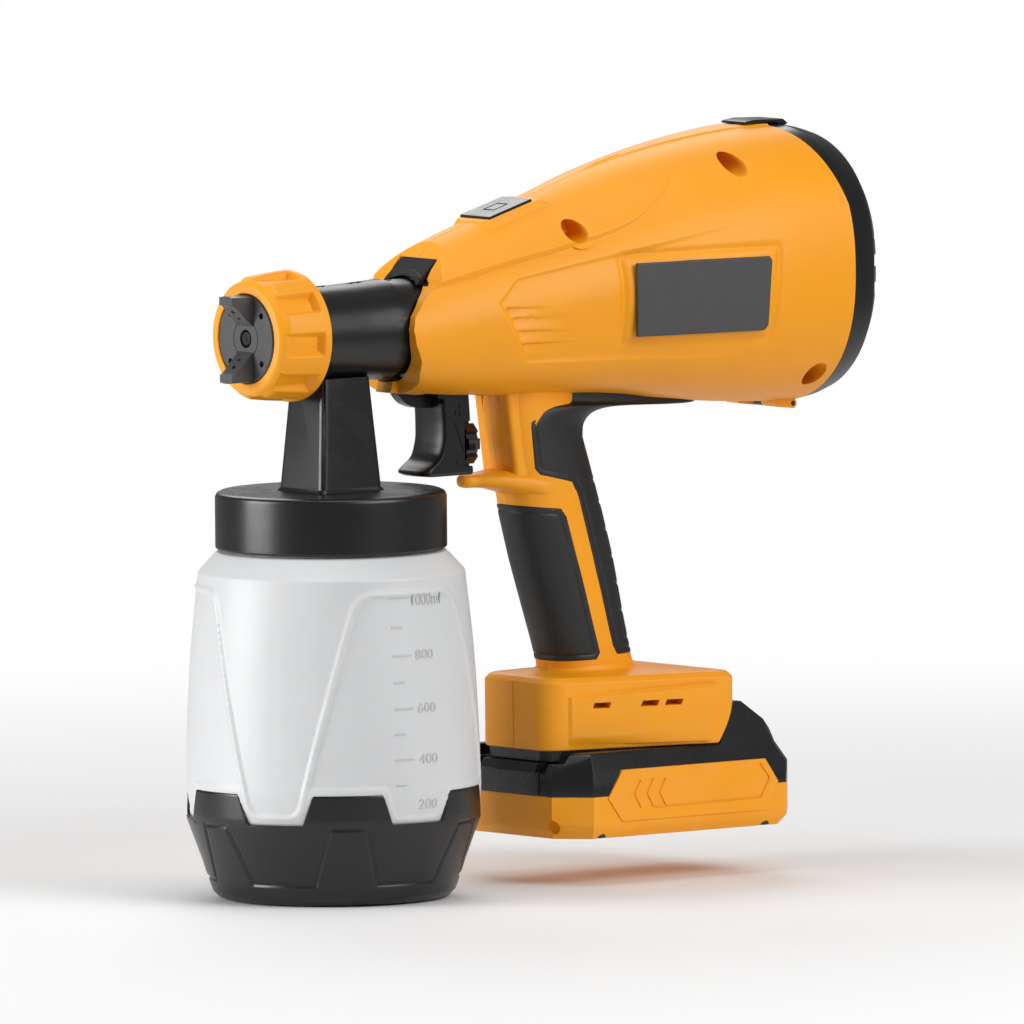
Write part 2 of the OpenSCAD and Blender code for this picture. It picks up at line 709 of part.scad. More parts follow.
module lock_spring() {
    color("#b8babc") lock_place() translate([0, 0, -7.95]) coil(3, 0.35, 4.85, 3);
}

// Trigger rings: [z, front x, side x, back x]
trigger_stations = [[166, 42, 45.4, 65.4], [167.2, 39.4, 43.2, 65.4], [169.2, 41.6, 44.4, 65.2], [172, 46, 48, 65],
    [178, 49.2, 50.8, 64.6], [186, 50, 51.4, 64.2], [193, 49.6, 51.2, 63.8], [198, 49.4, 51, 63.4]];

// One level of the trigger: flat sides and back, and a rounded finger face
function trigger_ring(s, w) = concat([[s[3], w, s[0]]],
    [for (t = [0:15:180]) [s[2] - (s[2] - s[1]) * sin(t), w * cos(t), s[0]]], [[s[3], -w, s[0]]]);

module trigger() {
    color(black) difference() {
        union() {
            loft([for (s = trigger_stations) trigger_ring(s, 10)]);
            // stop arm in front
            slab_y([[52, 193.5], [41.4, 193.8], [36.2, 196.6], [33.6, 201], [33.4, 204.6], [37.2, 204.6],
                [37.8, 201.6], [40.4, 199], [52, 198]], 4.6);
            // yoke inside the body
            translate([47, -10.2, 197.4]) cube([13, 20.4, 3.4]);
            for (s = [-1, 1]) translate([0, s * 9.1, 0]) {
                slab_y([[47, 198], [60, 198], [55, 222], [53.2, 246], [46.6, 246], [46.4, 222]], 2.2);
                translate([pivot[0], -1.1, pivot[1]]) rotate([-90, 0, 0]) cylinder(h = 2.2, r = 3.4, $fn = 32);
            }
            translate([44.2, -10.2, 223.6]) cube([3.2, 20.4, 4.8]);
            translate([56, -6.4, 197.8]) cube([8, 12.8, 9.6]);
        }
        translate([pivot[0], -20, pivot[1]]) rotate([-90, 0, 0]) cylinder(h = 40, r = 1.62, $fn = 32);
        translate([40, -2.4, 222]) cube([10, 4.8, 8]);
        // pocket of the flow wheel and its spindle
        rod_x(60.6, 67, 9.9, z = 178);
        rod_x(54, 61, 1.95, z = 178);
        for (s = [-1, 1]) translate([52.6, s * 10, 189]) for (a = [0, 90]) rotate([0, a, 0])
            translate([-1.8, -0.35, -0.35]) cube([3.6, 0.7, 0.7]);
        for (s = [-1, 1]) slab_y([[52.4, 185], [53.2, 185], [58.6, 173], [57.8, 173]], 0.7, y = s * 10);
        for (s = [-1, 1]) translate([52.6, s * 10, 171.4]) translate([-0.6, -0.35, -0.6]) cube([1.2, 0.7, 1.2]);
    }
}

module trigger_pin() {
    color("#cfd2d4") translate([pivot[0], -19.5, pivot[1]]) rotate([-90, 0, 0])
        cylinder(h = 39, r = 1.57, $fn = 32);
}

module trigger_spring() {
    color("#b8babc") translate([64.2, 3.4, 204]) rotate([0, 90, 0]) coil(2.2, 0.4, 19.6, 5);
}

module wheel_spindle() {
    color("#cfd2d4") rod_x(54.4, 69.8, 1.85, z = 178);
}

module flow_wheel() {
    color(black) difference() {
        union() {
            rod_x(63.4, 69, 8.2, z = 178);
            for (k = [0:7]) translate([0, 0, 178]) rotate([45 * k, 0, 0]) translate([63.4, -2.2, 0]) cube([5.6, 4.4, 9.3]);
        }
        rod_x(62, 73, 1.9, z = 178);
    }
}

module power_switch() {
    color("#3c3f44") difference() {
        union() {
            translate([84, -6.4, 197.4]) cube([20, 12.8, 15]);
            for (s = [-1, 1]) translate([104, s * 3 - 0.5, 203]) cube([5, 1, 3]);
        }
        rod_x(83, 96, 1.66, z = 204, y = -3);
    }
}

module switch_plunger() {
    color("#d8d8d4") rod_x(64.4, 88, 1.6, z = 204, y = -3);
}

// ---- Turbine ----

turbine_x = 144;

module air_duct() {
    x1 = turbine_x - 0.02;
    color("#8d9398") difference() {
        revolve_x([[43.6, 0], [43.6, 7.4], [122, 7.4], [x1 - 4, 33.5], [x1, 33.5], [x1, 0]], z = turbine_z);
        revolve_x([[43, 0], [43, 5.8], [122.6, 5.8], [x1 - 3.4, 31.8], [x1 + 1, 31.8], [x1 + 1, 0]], z = turbine_z);
    }
}

module turbine_housing() {
    color("#6c7277") difference() {
        revolve_x([[turbine_x, 0], [turbine_x, 34], [190, 34], [193, 45.5], [210.5, 45.5], [210.5, 0]], z = turbine_z);
        revolve_x([[143, 0], [143, 31.8], [191.5, 31.8], [194.5, 43.5], [208.5, 43.5], [208.5, 14], [211, 14],
            [211, 0]], z = turbine_z);
    }
}

module motor() {
    color("#9aa0a4") difference() {
        revolve_x([[146, 0], [146, 19], [148, 21], [184, 21], [186, 19], [186, 8], [189, 8], [189, 0]], z = turbine_z);
        rod_x(145, 190, 1.64, z = turbine_z);
        for (k = [0:5]) translate([0, 0, turbine_z]) rotate([60 * k, 0, 0]) translate([145, -3, 11]) cube([4, 6, 5]);
    }
}

module motor_mount() {
    color("#26282a") difference() {
        union() {
            rod_x(152, 160, 25, z = turbine_z);
            for (k = [0:2]) translate([0, 0, turbine_z]) rotate([120 * k, 0, 0]) translate([152, -4, 0]) cube([8, 8, 31.4]);
        }
        rod_x(151, 161, 21.05, z = turbine_z);
    }
}

module motor_shaft() {
    color("#cfd2d4") rod_x(144.6, 208, 1.57, z = turbine_z);
}

module fan_impeller() {
    color("#e3e4e4") {
        difference() {
            revolve_x([[193.8, 0], [193.8, 39.5], [195.2, 40.5], [197, 14], [203, 6], [207.4, 5], [207.4, 0]],
                z = turbine_z);
            rod_x(192, 209, 1.57, z = turbine_z);
        }
        for (k = [0:8]) translate([0, 0, turbine_z]) rotate([40 * k, 0, 0]) translate([0, 0, 11]) rotate([38, 0, 0])
            slab_y([[194.6, 0], [203.6, 0], [199.6, 26.5], [194.6, 26.5]], 1.4);
    }
}

module filter_frame() {
    color("#3c3f44") difference() {
        union() {
            rod_x(filter_x + 0.02, 225, 53.2, z = filter_z, fn = fine);
            rod_x(224, 227, 49.5, z = filter_z, fn = fine);
        }
        rod_x(225, 228, 47.5, z = filter_z, fn = fine);
        rod_x(222, 226, 30, z = turbine_z);
    }
}

module air_filter() {
    color("#4a4d50") rod_x(225.02, 231, 47.3, z = filter_z, fn = fine);
}

// ---- Intake cover ----

// Hinge of the intake cover under the back of the body: [x, z] of its pin
cover_hinge = [225, 185.6];
hinge_ear_y = 11.8;
hinge_ear_w = 8;
knuckle_w = 14.6;

// Rod along Y on the hinge's axis
module hinge_rod(r, width, y = 0, fn = 24) {
    translate([cover_hinge[0], y - width / 2, cover_hinge[1]]) rotate([-90, 0, 0]) cylinder(h = width, r = r, $fn = fn);
}

// Two bumps under the shells that hold the hinge's pin
module hinge_ears() {
    for (s = [-1, 1]) hull() {
        hinge_rod(1.9, hinge_ear_w, s * hinge_ear_y, 16);
        translate([217.5, s * hinge_ear_y - hinge_ear_w / 2, 187.6]) rotate([-90, 0, 0])
            cylinder(h = hinge_ear_w, r = 3, $fn = 16);
    }
}

module cover_pin() {
    color("#cfd2d4") hinge_rod(1.1, 2 * hinge_ear_y + hinge_ear_w, fn = 32);
}

function cover_ring(x, inset, n) = body_ring([x, 56.6, 298.2, 186, n, n], inset, x);

module rear_cover() {
    x0 = body_rear_x + 0.15;
    x1 = body_rear_x + cover_len;
    color(black) difference() {
        union() {
            loft([cover_ring(x0, 0.2, 2.35), cover_ring(x0 + 4, 0.8, 2.35), cover_ring(x0 + 11.5, 5, 2.35),
                cover_ring(x1, 11, 2.35)]);
            hull() {
                hinge_rod(1.9, knuckle_w, fn = 16);
                translate([226.4, -knuckle_w / 2, 186.4]) cube([2.2, knuckle_w, 1.8]);
            }
        }
        hinge_rod(1.14, 40);
        loft([cover_ring(x0 - 1, 3, 2.35), cover_ring(x0 + 3.6, 3.4, 2.35), cover_ring(x0 + 10.5, 7.4, 2.35),
            cover_ring(x1 - 2.4, 12, 2.35)]);
        for (s = [-1, 1]) hinge_rod(2.3, hinge_ear_w + 0.6, s * hinge_ear_y);
        for (k = [-5:5]) hull() for (s = [-1, 1])
            translate([x1 - 4, s * (37 - 0.55 * k * k), 242 + 7.4 * k]) rotate([0, 90, 0]) cylinder(h = 8, r = 1.7, $fn = 8);
    }
}

module cover_latch() {
    color(black) slab_y([[207.4, 298.7], [208.2, 299.8], [214, 300.5], [228, 300], [230.4, 298.2], [229.1, 297.45],
        [225.2, 298.05], [224.6, 298.7]], 15);
}

// ---- Foot and battery ----

board_z = 64;

module control_board() {
    color("#2f6b46") translate([114, -17, board_z]) cube([46, 34, 1.6]);
    color("#222426") {
        translate([120, -10, board_z + 1.6]) cube([12, 12, 4]);
        translate([137, -8, board_z + 1.6]) cube([9, 14, 3]);
        translate([151, 5, board_z + 1.6]) cylinder(h = 7, r = 4, $fn = 32);
    }
}

module battery_rail() {
    color("#242526") {
        difference() {
            translate([0, 0, foot_z - 4.1]) linear_extrude(4.05) intersection() {
                foot_outline(0.8);
                translate([80, -rail_half_w]) square([83.6, 2 * rail_half_w]);
            }
            for (k = [-2:2]) translate([113.9, k * 6 - 0.55, foot_z - 5]) cube([10.2, 1.1, 6]);
        }
        difference() {
            translate([0, 0, foot_z - 0.1]) linear_extrude(3.95) foot_outline(3.7);
            slab_y([[163.6, 40], [163.6, 53], [169, 62], [190, 62], [190, 40]], 120);
            translate([98, -19, foot_z + 2]) cube([66, 38, 4]);
            for (k = [-2:2]) translate([113.9, k * 6 - 0.55, foot_z - 1]) cube([10.2, 1.1, 6]);
        }
        for (s = [-1, 1]) {
            translate([98, s * 21 - 3, foot_z - 8]) cube([62, 6, 3.95]);
            // posts under the control board
            for (x = [118, 156]) translate([x, s * 15, foot_z + 1]) cylinder(h = board_z - foot_z - 1.02, r = 1.8, $fn = 24);
        }
    }
}

// Blades that reach down through the slide plate to the battery's contacts
module terminal_block() {
    color("#c9b36a") for (k = [-2:2]) translate([114, k * 6 - 0.5, 48.85]) cube([10, 1, 11.6]);
    color("#242526") difference() {
        translate([109, -13.1, foot_z + 2.02]) cube([16, 26.2, 6]);
        for (k = [-2:2]) translate([113.98, k * 6 - 0.52, foot_z]) cube([10.04, 1.04, 7.2]);
    }
}

rail_half_w = 30;

// Plan of the battery with clipped front corners
function battery_plan(d) = let (x0 = battery_x + d, x1 = battery_x + battery_len - d, w = battery_half_w - d)
    [[x0, -w + 12], [x0 + 12 - d / 2, -w], [x1 - 4, -w], [x1, -w + 4], [x1, w - 4], [x1 - 4, w],
    [x0 + 12 - d / 2, w], [x0, w - 12]];

function lifted(points, z) = [for (p = points) [p[0], p[1], z]];

battery_screw_x = [battery_x + 17.6, battery_x + 101.6];
battery_screw_y = 36.4;

module battery_base() {
    z1 = battery_split_z - 0.05;
    color(orange) difference() {
        loft([lifted(battery_plan(2.6), battery_z), lifted(battery_plan(0.4), battery_z + 3.4),
            lifted(battery_plan(0), battery_z + 6), lifted(battery_plan(0), z1)]);
        difference() {
            translate([0, 0, battery_z + 2.4]) linear_extrude(20) polygon(battery_plan(3.2));
            for (x = battery_screw_x) for (s = [-1, 1]) translate([x, s * battery_screw_y, 0]) cylinder(h = 60, r = 3.9, $fn = 32);
        }
        for (x = battery_screw_x) for (s = [-1, 1]) translate([x, s * battery_screw_y, battery_z - 1]) {
            cylinder(h = 3.6, r = 3.2, $fn = 32);
            cylinder(h = 16.5, r = 1.35, $fn = 24);
        }
    }
    // raised plates that rise from the case into the cover
    color(orange) for (s = [-1, 1]) difference() {
        battery_side_plate(s, 0);
        battery_chevrons(s);
    }
}

// Three pressed chevrons at the front of the plate
module battery_chevrons(s) {
    for (k = [0:2]) translate([battery_x + 31 + 6.4 * k, 0, 35.9]) slab_y([[3.4, 5.6], [0, 0], [3.4, -5.6], [5, -5.6],
        [1.8, 0], [5, 5.6]], 2, y = s * (battery_half_w + 1.1));
}

// Outline of the six-sided plate on the side of the battery, grown by an offset
module battery_side_plate(s, grow) {
    translate([0, s * (battery_half_w - 1), 0]) rotate([90, 0, 0]) linear_extrude(3.2 + 2 * grow, center = true)
        offset(delta = grow) polygon([[battery_x + 19.2, 35], [battery_x + 26.6, 46], [battery_x + 100, 46],
            [battery_x + 106.6, 36.6], [battery_x + 100.6, 25.4], [battery_x + 26.4, 25.4]]);
}

module battery_top() {
    x1 = battery_x + battery_len;
    color("#343536") difference() {
        union() {
            loft([lifted(battery_plan(0), battery_split_z), lifted(battery_plan(0), 44.5),
                lifted(battery_plan(3.6), battery_top_z - 1.2), lifted(battery_plan(4.8), battery_top_z)]);
            intersection() {
                slab_y([[x1 - 38.5, 50], [x1 - 33.5, 53.8], [x1 - 27, 66.6], [x1 - 24.8, 69], [x1 - 20, 69],
                    [x1 - 2.4, 55], [x1, 50]], 90);
                loft([lifted(battery_plan(0), 44.5), lifted(battery_plan(3.6), 51.8), lifted(battery_plan(6), 60),
                    lifted(battery_plan(9), 70)]);
            }
        }
        // hollow for the cells
        translate([0, 0, battery_split_z - 1]) linear_extrude(5.4) polygon(battery_plan(4.4));
        // channels and bed for the gun's slide plate
        for (s = [-1, 1]) translate([battery_x - 1, s * 21 - 3.4, foot_z - 8.4]) cube([74, 6.8, 9]);
        translate([battery_x - 1, -rail_half_w - 0.4, foot_z - 4.5]) cube([76.8, 2 * rail_half_w + 0.8, 8]);
        for (k = [-2:2]) translate([111.95, k * 6 - 1.55, 47.8]) cube([14.1, 3.1, 2]);
        for (s = [-1, 1]) battery_side_plate(s, 0.12);
        // bed of the release button
        button_place() translate([-7.4, -11.4, -7.6]) cube([14.8, 22.8, 20]);
    }
}

module battery_cells() {
    color("#5d86a8") for (j = [0:4]) translate([battery_x + 18.4 + 19.2 * j, -32, 30.5])
        rotate([-90, 0, 0]) cylinder(h = 64, r = 9.2, $fn = 48);
}

module battery_contacts() {
    color("#c9b36a") for (k = [-2:2]) translate([112, k * 6 - 1.5, 47.85]) cube([14, 3, 0.8]);
}

module battery_screws() {
    color("#55585b") for (x = battery_screw_x) for (s = [-1, 1]) translate([x, s * battery_screw_y, battery_z + 0.2])
        difference() {
            union() {
                cylinder(h = 2.3, r = 3.1, $fn = 32);
                cylinder(h = 15, r = 1.3, $fn = 24);
            }
            translate([0, 0, -1]) cylinder(h = 2, r = 1.2, $fn = 6);
        }
}

button_tilt = 38.5;

// Place of the release button on the slope behind the hump
module button_place() {
    translate([battery_x + battery_len - 11.2, 0, 61.8]) rotate([0, button_tilt, 0]) children();
}

module battery_button() {
    color(black) button_place() difference() {
        translate([-7, -11, -3.8]) cube([14, 22, 5]);
        for (k = [-1:1]) translate([-0.6 + 3 * k, -8, 0.8]) cube([1.2, 16, 1]);
    }
}

module battery_spring() {
    color("#b8babc") button_place() translate([0, 0, -7.55]) coil(3, 0.4, 3.7, 2);
}

cup();
cup_boot();
screw_lid();
lid_gasket();
spray_barrel();
pickup_tube();
fluid_nozzle();
packing_nut();
needle();
needle_spring();
air_cap();
cap_ring();
housing_left();
housing_right();
front_grip();
rear_grip();
side_badge();
housing_screws();
head_socket();
lock_button();
lock_spring();
trigger();
trigger_pin();
trigger_spring();
flow_wheel();
wheel_spindle();
power_switch();
switch_plunger();
air_duct();
turbine_housing();
motor();
motor_mount();
fan_impeller();
motor_shaft();
filter_frame();
air_filter();
rear_cover();
cover_pin();
cover_latch();
control_board();
battery_rail();
terminal_block();
battery_base();
battery_top();
battery_cells();
battery_contacts();
battery_screws();
battery_button();
battery_spring();
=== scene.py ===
"""Cordless cup sprayer: the finished surfaces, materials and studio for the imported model.

Sizes are millimetres in the model's own frame: +Z is up, the nozzle points along -X, and the origin
is the centre of the face under the cup. Meshes are written in metres."""
import json
import math

import bmesh
import bpy
import numpy as np
from bpy.props import FloatProperty, FloatVectorProperty, PointerProperty
from mathutils import Matrix, Vector

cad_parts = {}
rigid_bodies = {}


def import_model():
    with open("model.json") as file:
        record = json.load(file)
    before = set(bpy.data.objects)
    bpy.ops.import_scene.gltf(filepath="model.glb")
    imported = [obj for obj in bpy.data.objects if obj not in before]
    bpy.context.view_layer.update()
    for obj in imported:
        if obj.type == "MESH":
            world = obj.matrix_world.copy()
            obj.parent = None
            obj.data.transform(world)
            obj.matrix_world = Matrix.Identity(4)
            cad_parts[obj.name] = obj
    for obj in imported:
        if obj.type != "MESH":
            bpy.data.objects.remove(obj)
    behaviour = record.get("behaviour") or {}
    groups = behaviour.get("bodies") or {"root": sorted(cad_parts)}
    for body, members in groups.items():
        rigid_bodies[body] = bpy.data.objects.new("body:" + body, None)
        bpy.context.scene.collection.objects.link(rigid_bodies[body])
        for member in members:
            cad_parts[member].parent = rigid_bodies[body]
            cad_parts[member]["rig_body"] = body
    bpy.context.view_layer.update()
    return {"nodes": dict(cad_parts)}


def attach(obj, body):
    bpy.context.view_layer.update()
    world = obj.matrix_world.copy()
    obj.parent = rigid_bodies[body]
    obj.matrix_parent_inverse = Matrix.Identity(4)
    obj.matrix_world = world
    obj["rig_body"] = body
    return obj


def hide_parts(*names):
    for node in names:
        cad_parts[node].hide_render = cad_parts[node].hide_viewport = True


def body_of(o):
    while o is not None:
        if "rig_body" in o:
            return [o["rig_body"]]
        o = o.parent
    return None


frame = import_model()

bl_info = {
    "name": "Cup Sprayer",
    "version": (1, 0, 0),
    "blender": (4, 5, 0),
    "location": "View3D > Sidebar > Sprayer",
    "description": "Builds the surfaces, finishes and studio of a cordless cup sprayer",
    "category": "Object",
}

MM = 0.001
DENSITY = 1.0

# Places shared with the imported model: the nozzle's axis, the face of the air cap, the open back and the cover's pin
AXIS_Z = 226.0
CAP_X = -42.5
BODY_REAR_X = 225.0
HINGE = (225, 185.6)
# Where the camera looks from, in degrees, and its sensor's width in mm and pixels
CAMERA_AZIMUTH, CAMERA_ELEVATION, CAMERA_ROLL = -38.5, 4.85, -0.5
SENSOR_WIDTH, FRAME_PIXELS = 36, 1024


# ---- Numbers ----

def count(n):
    """n scaled to the wanted mesh density, at least 8."""
    return max(8, int(n * DENSITY))


def ramp(value, low, high):
    """0 below low, 1 above high, and the cubic 3t^2 - 2t^3 between them."""
    t = np.clip((value - low) / (high - low), 0.0, 1.0)
    return t * t * (3 - 2 * t)


def flow(keys, at):
    """Hermite curve through the rows of keys, read at stations at. The first column is the station. A row's
    slope is the mean of the chords beside it, weighted by their lengths, and zero where they turn."""
    keys = np.asarray(keys, float)
    x, y = keys[:, 0], keys[:, 1:]
    h = np.diff(x)[:, None]
    chord = np.diff(y, axis=0) / h
    inner = (chord[:-1] * h[1:] + chord[1:] * h[:-1]) / (h[1:] + h[:-1])
    inner[chord[:-1] * chord[1:] <= 0] = 0
    slope = np.vstack([chord[:1], inner, chord[-1:]])
    at = np.asarray(at, float)
    i = np.clip(np.searchsorted(x, at) - 1, 0, len(x) - 2)
    w = (x[i + 1] - x[i])[..., None]
    t = np.clip((at - x[i])[..., None] / w, 0, 1)
    a, b = y[i], y[i + 1]
    return (a * (1 + 2 * t) * (1 - t) ** 2 + b * t * t * (3 - 2 * t)
            + w * (slope[i] * t * (1 - t) ** 2 - slope[i + 1] * t * t * (1 - t)))


def power(v, e):
    """Signed power, sign(v) |v|^e."""
    return np.sign(v) * np.abs(v) ** e


def soft_max(values, radius):
    """Largest of the arrays, with the corner between any two rounded over a band of the given radius."""
    top = values[0]
    for v in values[1:]:
        h = np.maximum(radius - np.abs(top - v), 0) / radius
        top = np.maximum(top, v) + h * h * radius / 4
    return top


def soft_min(values, radius):
    """Smallest of the arrays, with the corner between any two rounded in the same way."""
    return -soft_max([-v for v in values], radius)


def line_distance(x, z, p, q):
    """Signed distance of (x, z) from the line through p and q, positive on its left."""
    dx, dz = q[0] - p[0], q[1] - p[1]
    return (dx * (z - p[1]) - dz * (x - p[0])) / math.hypot(dx, dz)


def outline_distance(x, z, points, radius=0.0):
    """Signed distance of (x, z) from a convex outline listed anticlockwise, negative inside."""
    edges = [-line_distance(x, z, points[k], points[(k + 1) % len(points)]) for k in range(len(points))]
    return soft_max(edges, radius) if radius else np.max(edges, axis=0)


def polyline_gap(x, z, points):
    """Least distance of (x, z) from an open polyline."""
    best = np.full(np.shape(x), 1e9)
    for a, b in zip(np.asarray(points, float)[:-1], np.asarray(points, float)[1:]):
        e = b - a
        t = np.clip(((x - a[0]) * e[0] + (z - a[1]) * e[1]) / (e @ e), 0, 1)
        best = np.minimum(best, np.hypot(x - a[0] - t * e[0], z - a[1] - t * e[1]))
    return best


def along(points, n):
    """n points at equal steps along the polyline points."""
    points = np.asarray(points, float)
    s = np.concatenate([[0], np.cumsum(np.linalg.norm(np.diff(points, axis=0), axis=1))])
    t = np.linspace(0, s[-1], n)
    return np.stack([np.interp(t, s, points[:, k]) for k in range(points.shape[1])], axis=1)


# ---- Meshes ----

def mesh_object(name, verts, faces, sharp=32):
    """Object name from points in mm and a list of face arrays (quads, triangles or one ring of a cap)."""
    mesh = bpy.data.meshes.new(name)
    flat = [np.asarray(f, np.int32) for f in faces]
    loops = np.concatenate([f.ravel() for f in flat])
    sizes = np.concatenate([np.full(1 if f.ndim == 1 else len(f), f.shape[-1], np.int32) for f in flat])
    verts = np.asarray(verts, np.float32) * MM
    mesh.vertices.add(len(verts))
    mesh.vertices.foreach_set("co", verts.ravel())
    mesh.loops.add(len(loops))
    mesh.loops.foreach_set("vertex_index", loops)
    mesh.polygons.add(len(sizes))
    mesh.polygons.foreach_set("loop_start", np.concatenate([[0], np.cumsum(sizes)[:-1]]).astype(np.int32))
    mesh.update(calc_edges=True)
    mesh.validate()
    obj = bpy.data.objects.new(name, mesh)
    bpy.context.scene.collection.objects.link(obj)
    tidy_mesh(obj, sharp)
    return obj


def tidy_mesh(obj, sharp=32):
    """Welds doubles, turns the faces outwards and shades smooth below the sharp angle in degrees."""
    bm = bmesh.new()
    bm.from_mesh(obj.data)
    bmesh.ops.remove_doubles(bm, verts=bm.verts, dist=1e-7)
    bmesh.ops.recalc_face_normals(bm, faces=bm.faces)
    bm.to_mesh(obj.data)
    bm.free()
    shade(obj, sharp)


def shade(obj, sharp=32):
    """Smooth shading with the edges above the angle left sharp."""
    obj.data.shade_smooth()
    obj.data.set_sharp_from_angle(angle=math.radians(sharp))


def quads(rows, cols):
    """Faces of a grid of rows x cols points, closed round its columns."""
    i = np.arange(rows - 1)[:, None] * cols
    j = np.arange(cols)[None, :]
    k = (j + 1) % cols
    return np.stack([i + j, i + k, i + cols + k, i + cols + j], axis=-1).reshape(-1, 4)


def loft(name, rings, sharp=32):
    """Closed solid: the rings are joined in order, and a face closes the first and the last."""
    rings = np.asarray(rings, float)
    rows, cols = rings.shape[:2]
    last = (rows - 1) * cols
    return mesh_object(name, rings.reshape(-1, 3),
                       [quads(rows, cols), np.arange(cols)[::-1], last + np.arange(cols)], sharp)


def tube(name, rings, sharp=32):
    """Surface through the rings in order, whose ends meet each other or shrink to points."""
    rings = np.asarray(rings, float)
    return mesh_object(name, rings.reshape(-1, 3), [quads(*rings.shape[:2])], sharp)


def polar(r, a, z):
    """Points at radius r, angle a in radians and height z."""
    r, a, z = np.broadcast_arrays(r, a, z)
    return np.stack([r * np.cos(a), r * np.sin(a), z], axis=-1)


def turned(profile, n, centre=(0, 0), axis="z"):
    """Rings of a profile turned about an axis: profile rows are [radius, station along the axis]."""
    profile = np.asarray(profile, float)
    a = np.linspace(0, 2 * np.pi, n, endpoint=False)
    points = polar(profile[:, 0:1], a, profile[:, 1:2])
    points[..., :2] += centre
    return np.roll(points, 1, axis=-1) if axis == "x" else points


def turn_solid(name, profile, n=128, centre=(0, 0), axis="z"):
    """Closed ring or solid from a closed profile turned about an axis. Rows at radius 0 weld into a pole."""
    rings = turned(profile, n, centre, axis)
    return tube(name, np.concatenate([rings, rings[:1]]))


def rounded(points, radius, steps=5):
    """Open profile with each inner corner replaced by a quadratic arc that starts radius before it."""
    points = [np.asarray(p, float) for p in points]
    out = [points[0]]
    for a, b, c in zip(points[:-2], points[1:-1], points[2:]):
        r = min(radius, np.linalg.norm(a - b) / 2.01, np.linalg.norm(c - b) / 2.01)
        p = b + (a - b) / np.linalg.norm(a - b) * r
        q = b + (c - b) / np.linalg.norm(c - b) * r
        for t in np.linspace(0, 1, steps):
            out.append(p * (1 - t) ** 2 + 2 * b * t * (1 - t) + q * t * t)
    out.append(points[-1])
    return np.array(out)


def half_name(stem, side):
    """Name of the left or the right one of a pair."""
    return stem + ("_left" if side < 0 else "_right")


def level(points, z, side=1):
    """Flat ring of the points (x, y) at height z, mirrored where side is -1."""
    points = np.asarray(points, float)
    return np.column_stack([points[:, 0], side * points[:, 1], np.full(len(points), z)])


def upright(points, y):
    """Flat ring of the points (x, z) in the plane at y."""
    points = np.asarray(points, float)
    return np.column_stack([points[:, 0], np.full(len(points), y), points[:, 1]])


def prism(name, points, y0, y1):
    """Outline in the XZ plane carried from y0 to y1."""
    return loft(name, [upright(points, y0), upright(points, y1)])


def rod(name, start, end, radius, n=48):
    """Cylinder between two points."""
    start, end = np.asarray(start, float), np.asarray(end, float)
    d = (end - start) / np.linalg.norm(end - start)
    side = np.cross(d, [0, 0, 1.0] if abs(d[2]) < 0.9 else [1.0, 0, 0])
    side /= np.linalg.norm(side)
    a = np.linspace(0, 2 * np.pi, n, endpoint=False)[:, None]
    ring = (np.cos(a) * side + np.sin(a) * np.cross(d, side)) * radius
    return loft(name, [start + ring, end + ring])


def box_solid(name, low, high):
    """Box between two corners."""
    (x0, y0, z0), (x1, y1, z1) = low, high
    base = [[x0, y0], [x1, y0], [x1, y1], [x0, y1]]
    return loft(name, [level(base, z0), level(base, z1)])


def place(obj, matrix):
    """Moves the mesh itself, so that the object stays at the origin."""
    obj.data.transform(matrix)
    return obj


def combine(obj, others, how="DIFFERENCE"):
    """Cuts the other solids out of obj, or adds them to it, and deletes them."""
    for other in others:
        mod = obj.modifiers.new("join", "BOOLEAN")
        mod.operation = how
        mod.solver = "MANIFOLD"
        mod.object = other
    settle(obj)
    for other in others:
        bpy.data.objects.remove(other, do_unlink=True)
    shade(obj)
    return obj


def settle(obj):
    """Puts the result of the modifiers into the mesh."""
    graph = bpy.context.evaluated_depsgraph_get()
    graph.update()
    result = bpy.data.meshes.new_from_object(obj.evaluated_get(graph))
    if not len(result.polygons):
        raise RuntimeError(f"{obj.name}: nothing is left after its modifiers")
    obj.modifiers.clear()
    old, obj.data = obj.data, result
    result.name = obj.name
    bpy.data.meshes.remove(old)


def bevel(obj, width, segments=2):
    """Rounds the edges above 35 degrees over a width in mm."""
    mod = obj.modifiers.new("edge", "BEVEL")
    mod.width = width * MM
    mod.segments = segments
    mod.limit_method = "ANGLE"
    mod.angle_limit = math.radians(35)
    mod.use_clamp_overlap = True
    mod.miter_outer = "MITER_ARC"
    settle(obj)
    shade(obj)
    return obj


def refined(node, name, width, segments=2):
    """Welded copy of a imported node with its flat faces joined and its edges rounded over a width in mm."""
    obj = bpy.data.objects.new(name, frame["nodes"][node].data.copy())
    obj.data.materials.clear()
    bpy.context.scene.collection.objects.link(obj)
    bm = bmesh.new()
    bm.from_mesh(obj.data)
    bmesh.ops.remove_doubles(bm, verts=bm.verts, dist=2e-6)
    bmesh.ops.dissolve_limit(bm, angle_limit=math.radians(0.8), verts=bm.verts, edges=bm.edges)
    bm.to_mesh(obj.data)
    bm.free()
    return bevel(obj, width, segments)


def finish_piece(obj, key, node):
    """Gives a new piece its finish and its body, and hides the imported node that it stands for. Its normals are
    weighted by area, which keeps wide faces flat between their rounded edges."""
    mod = obj.modifiers.new("level", "WEIGHTED_NORMAL")
    mod.keep_sharp = True
    mod.weight = 80
    paint(obj, finish(key))
    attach(obj, body_of(frame["nodes"][node])[0])
    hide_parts(node)


def paint(obj, material):
    """Leaves the object this material alone."""
    obj.data.materials.clear()
    obj.data.materials.append(material)


# ---- Finishes ----

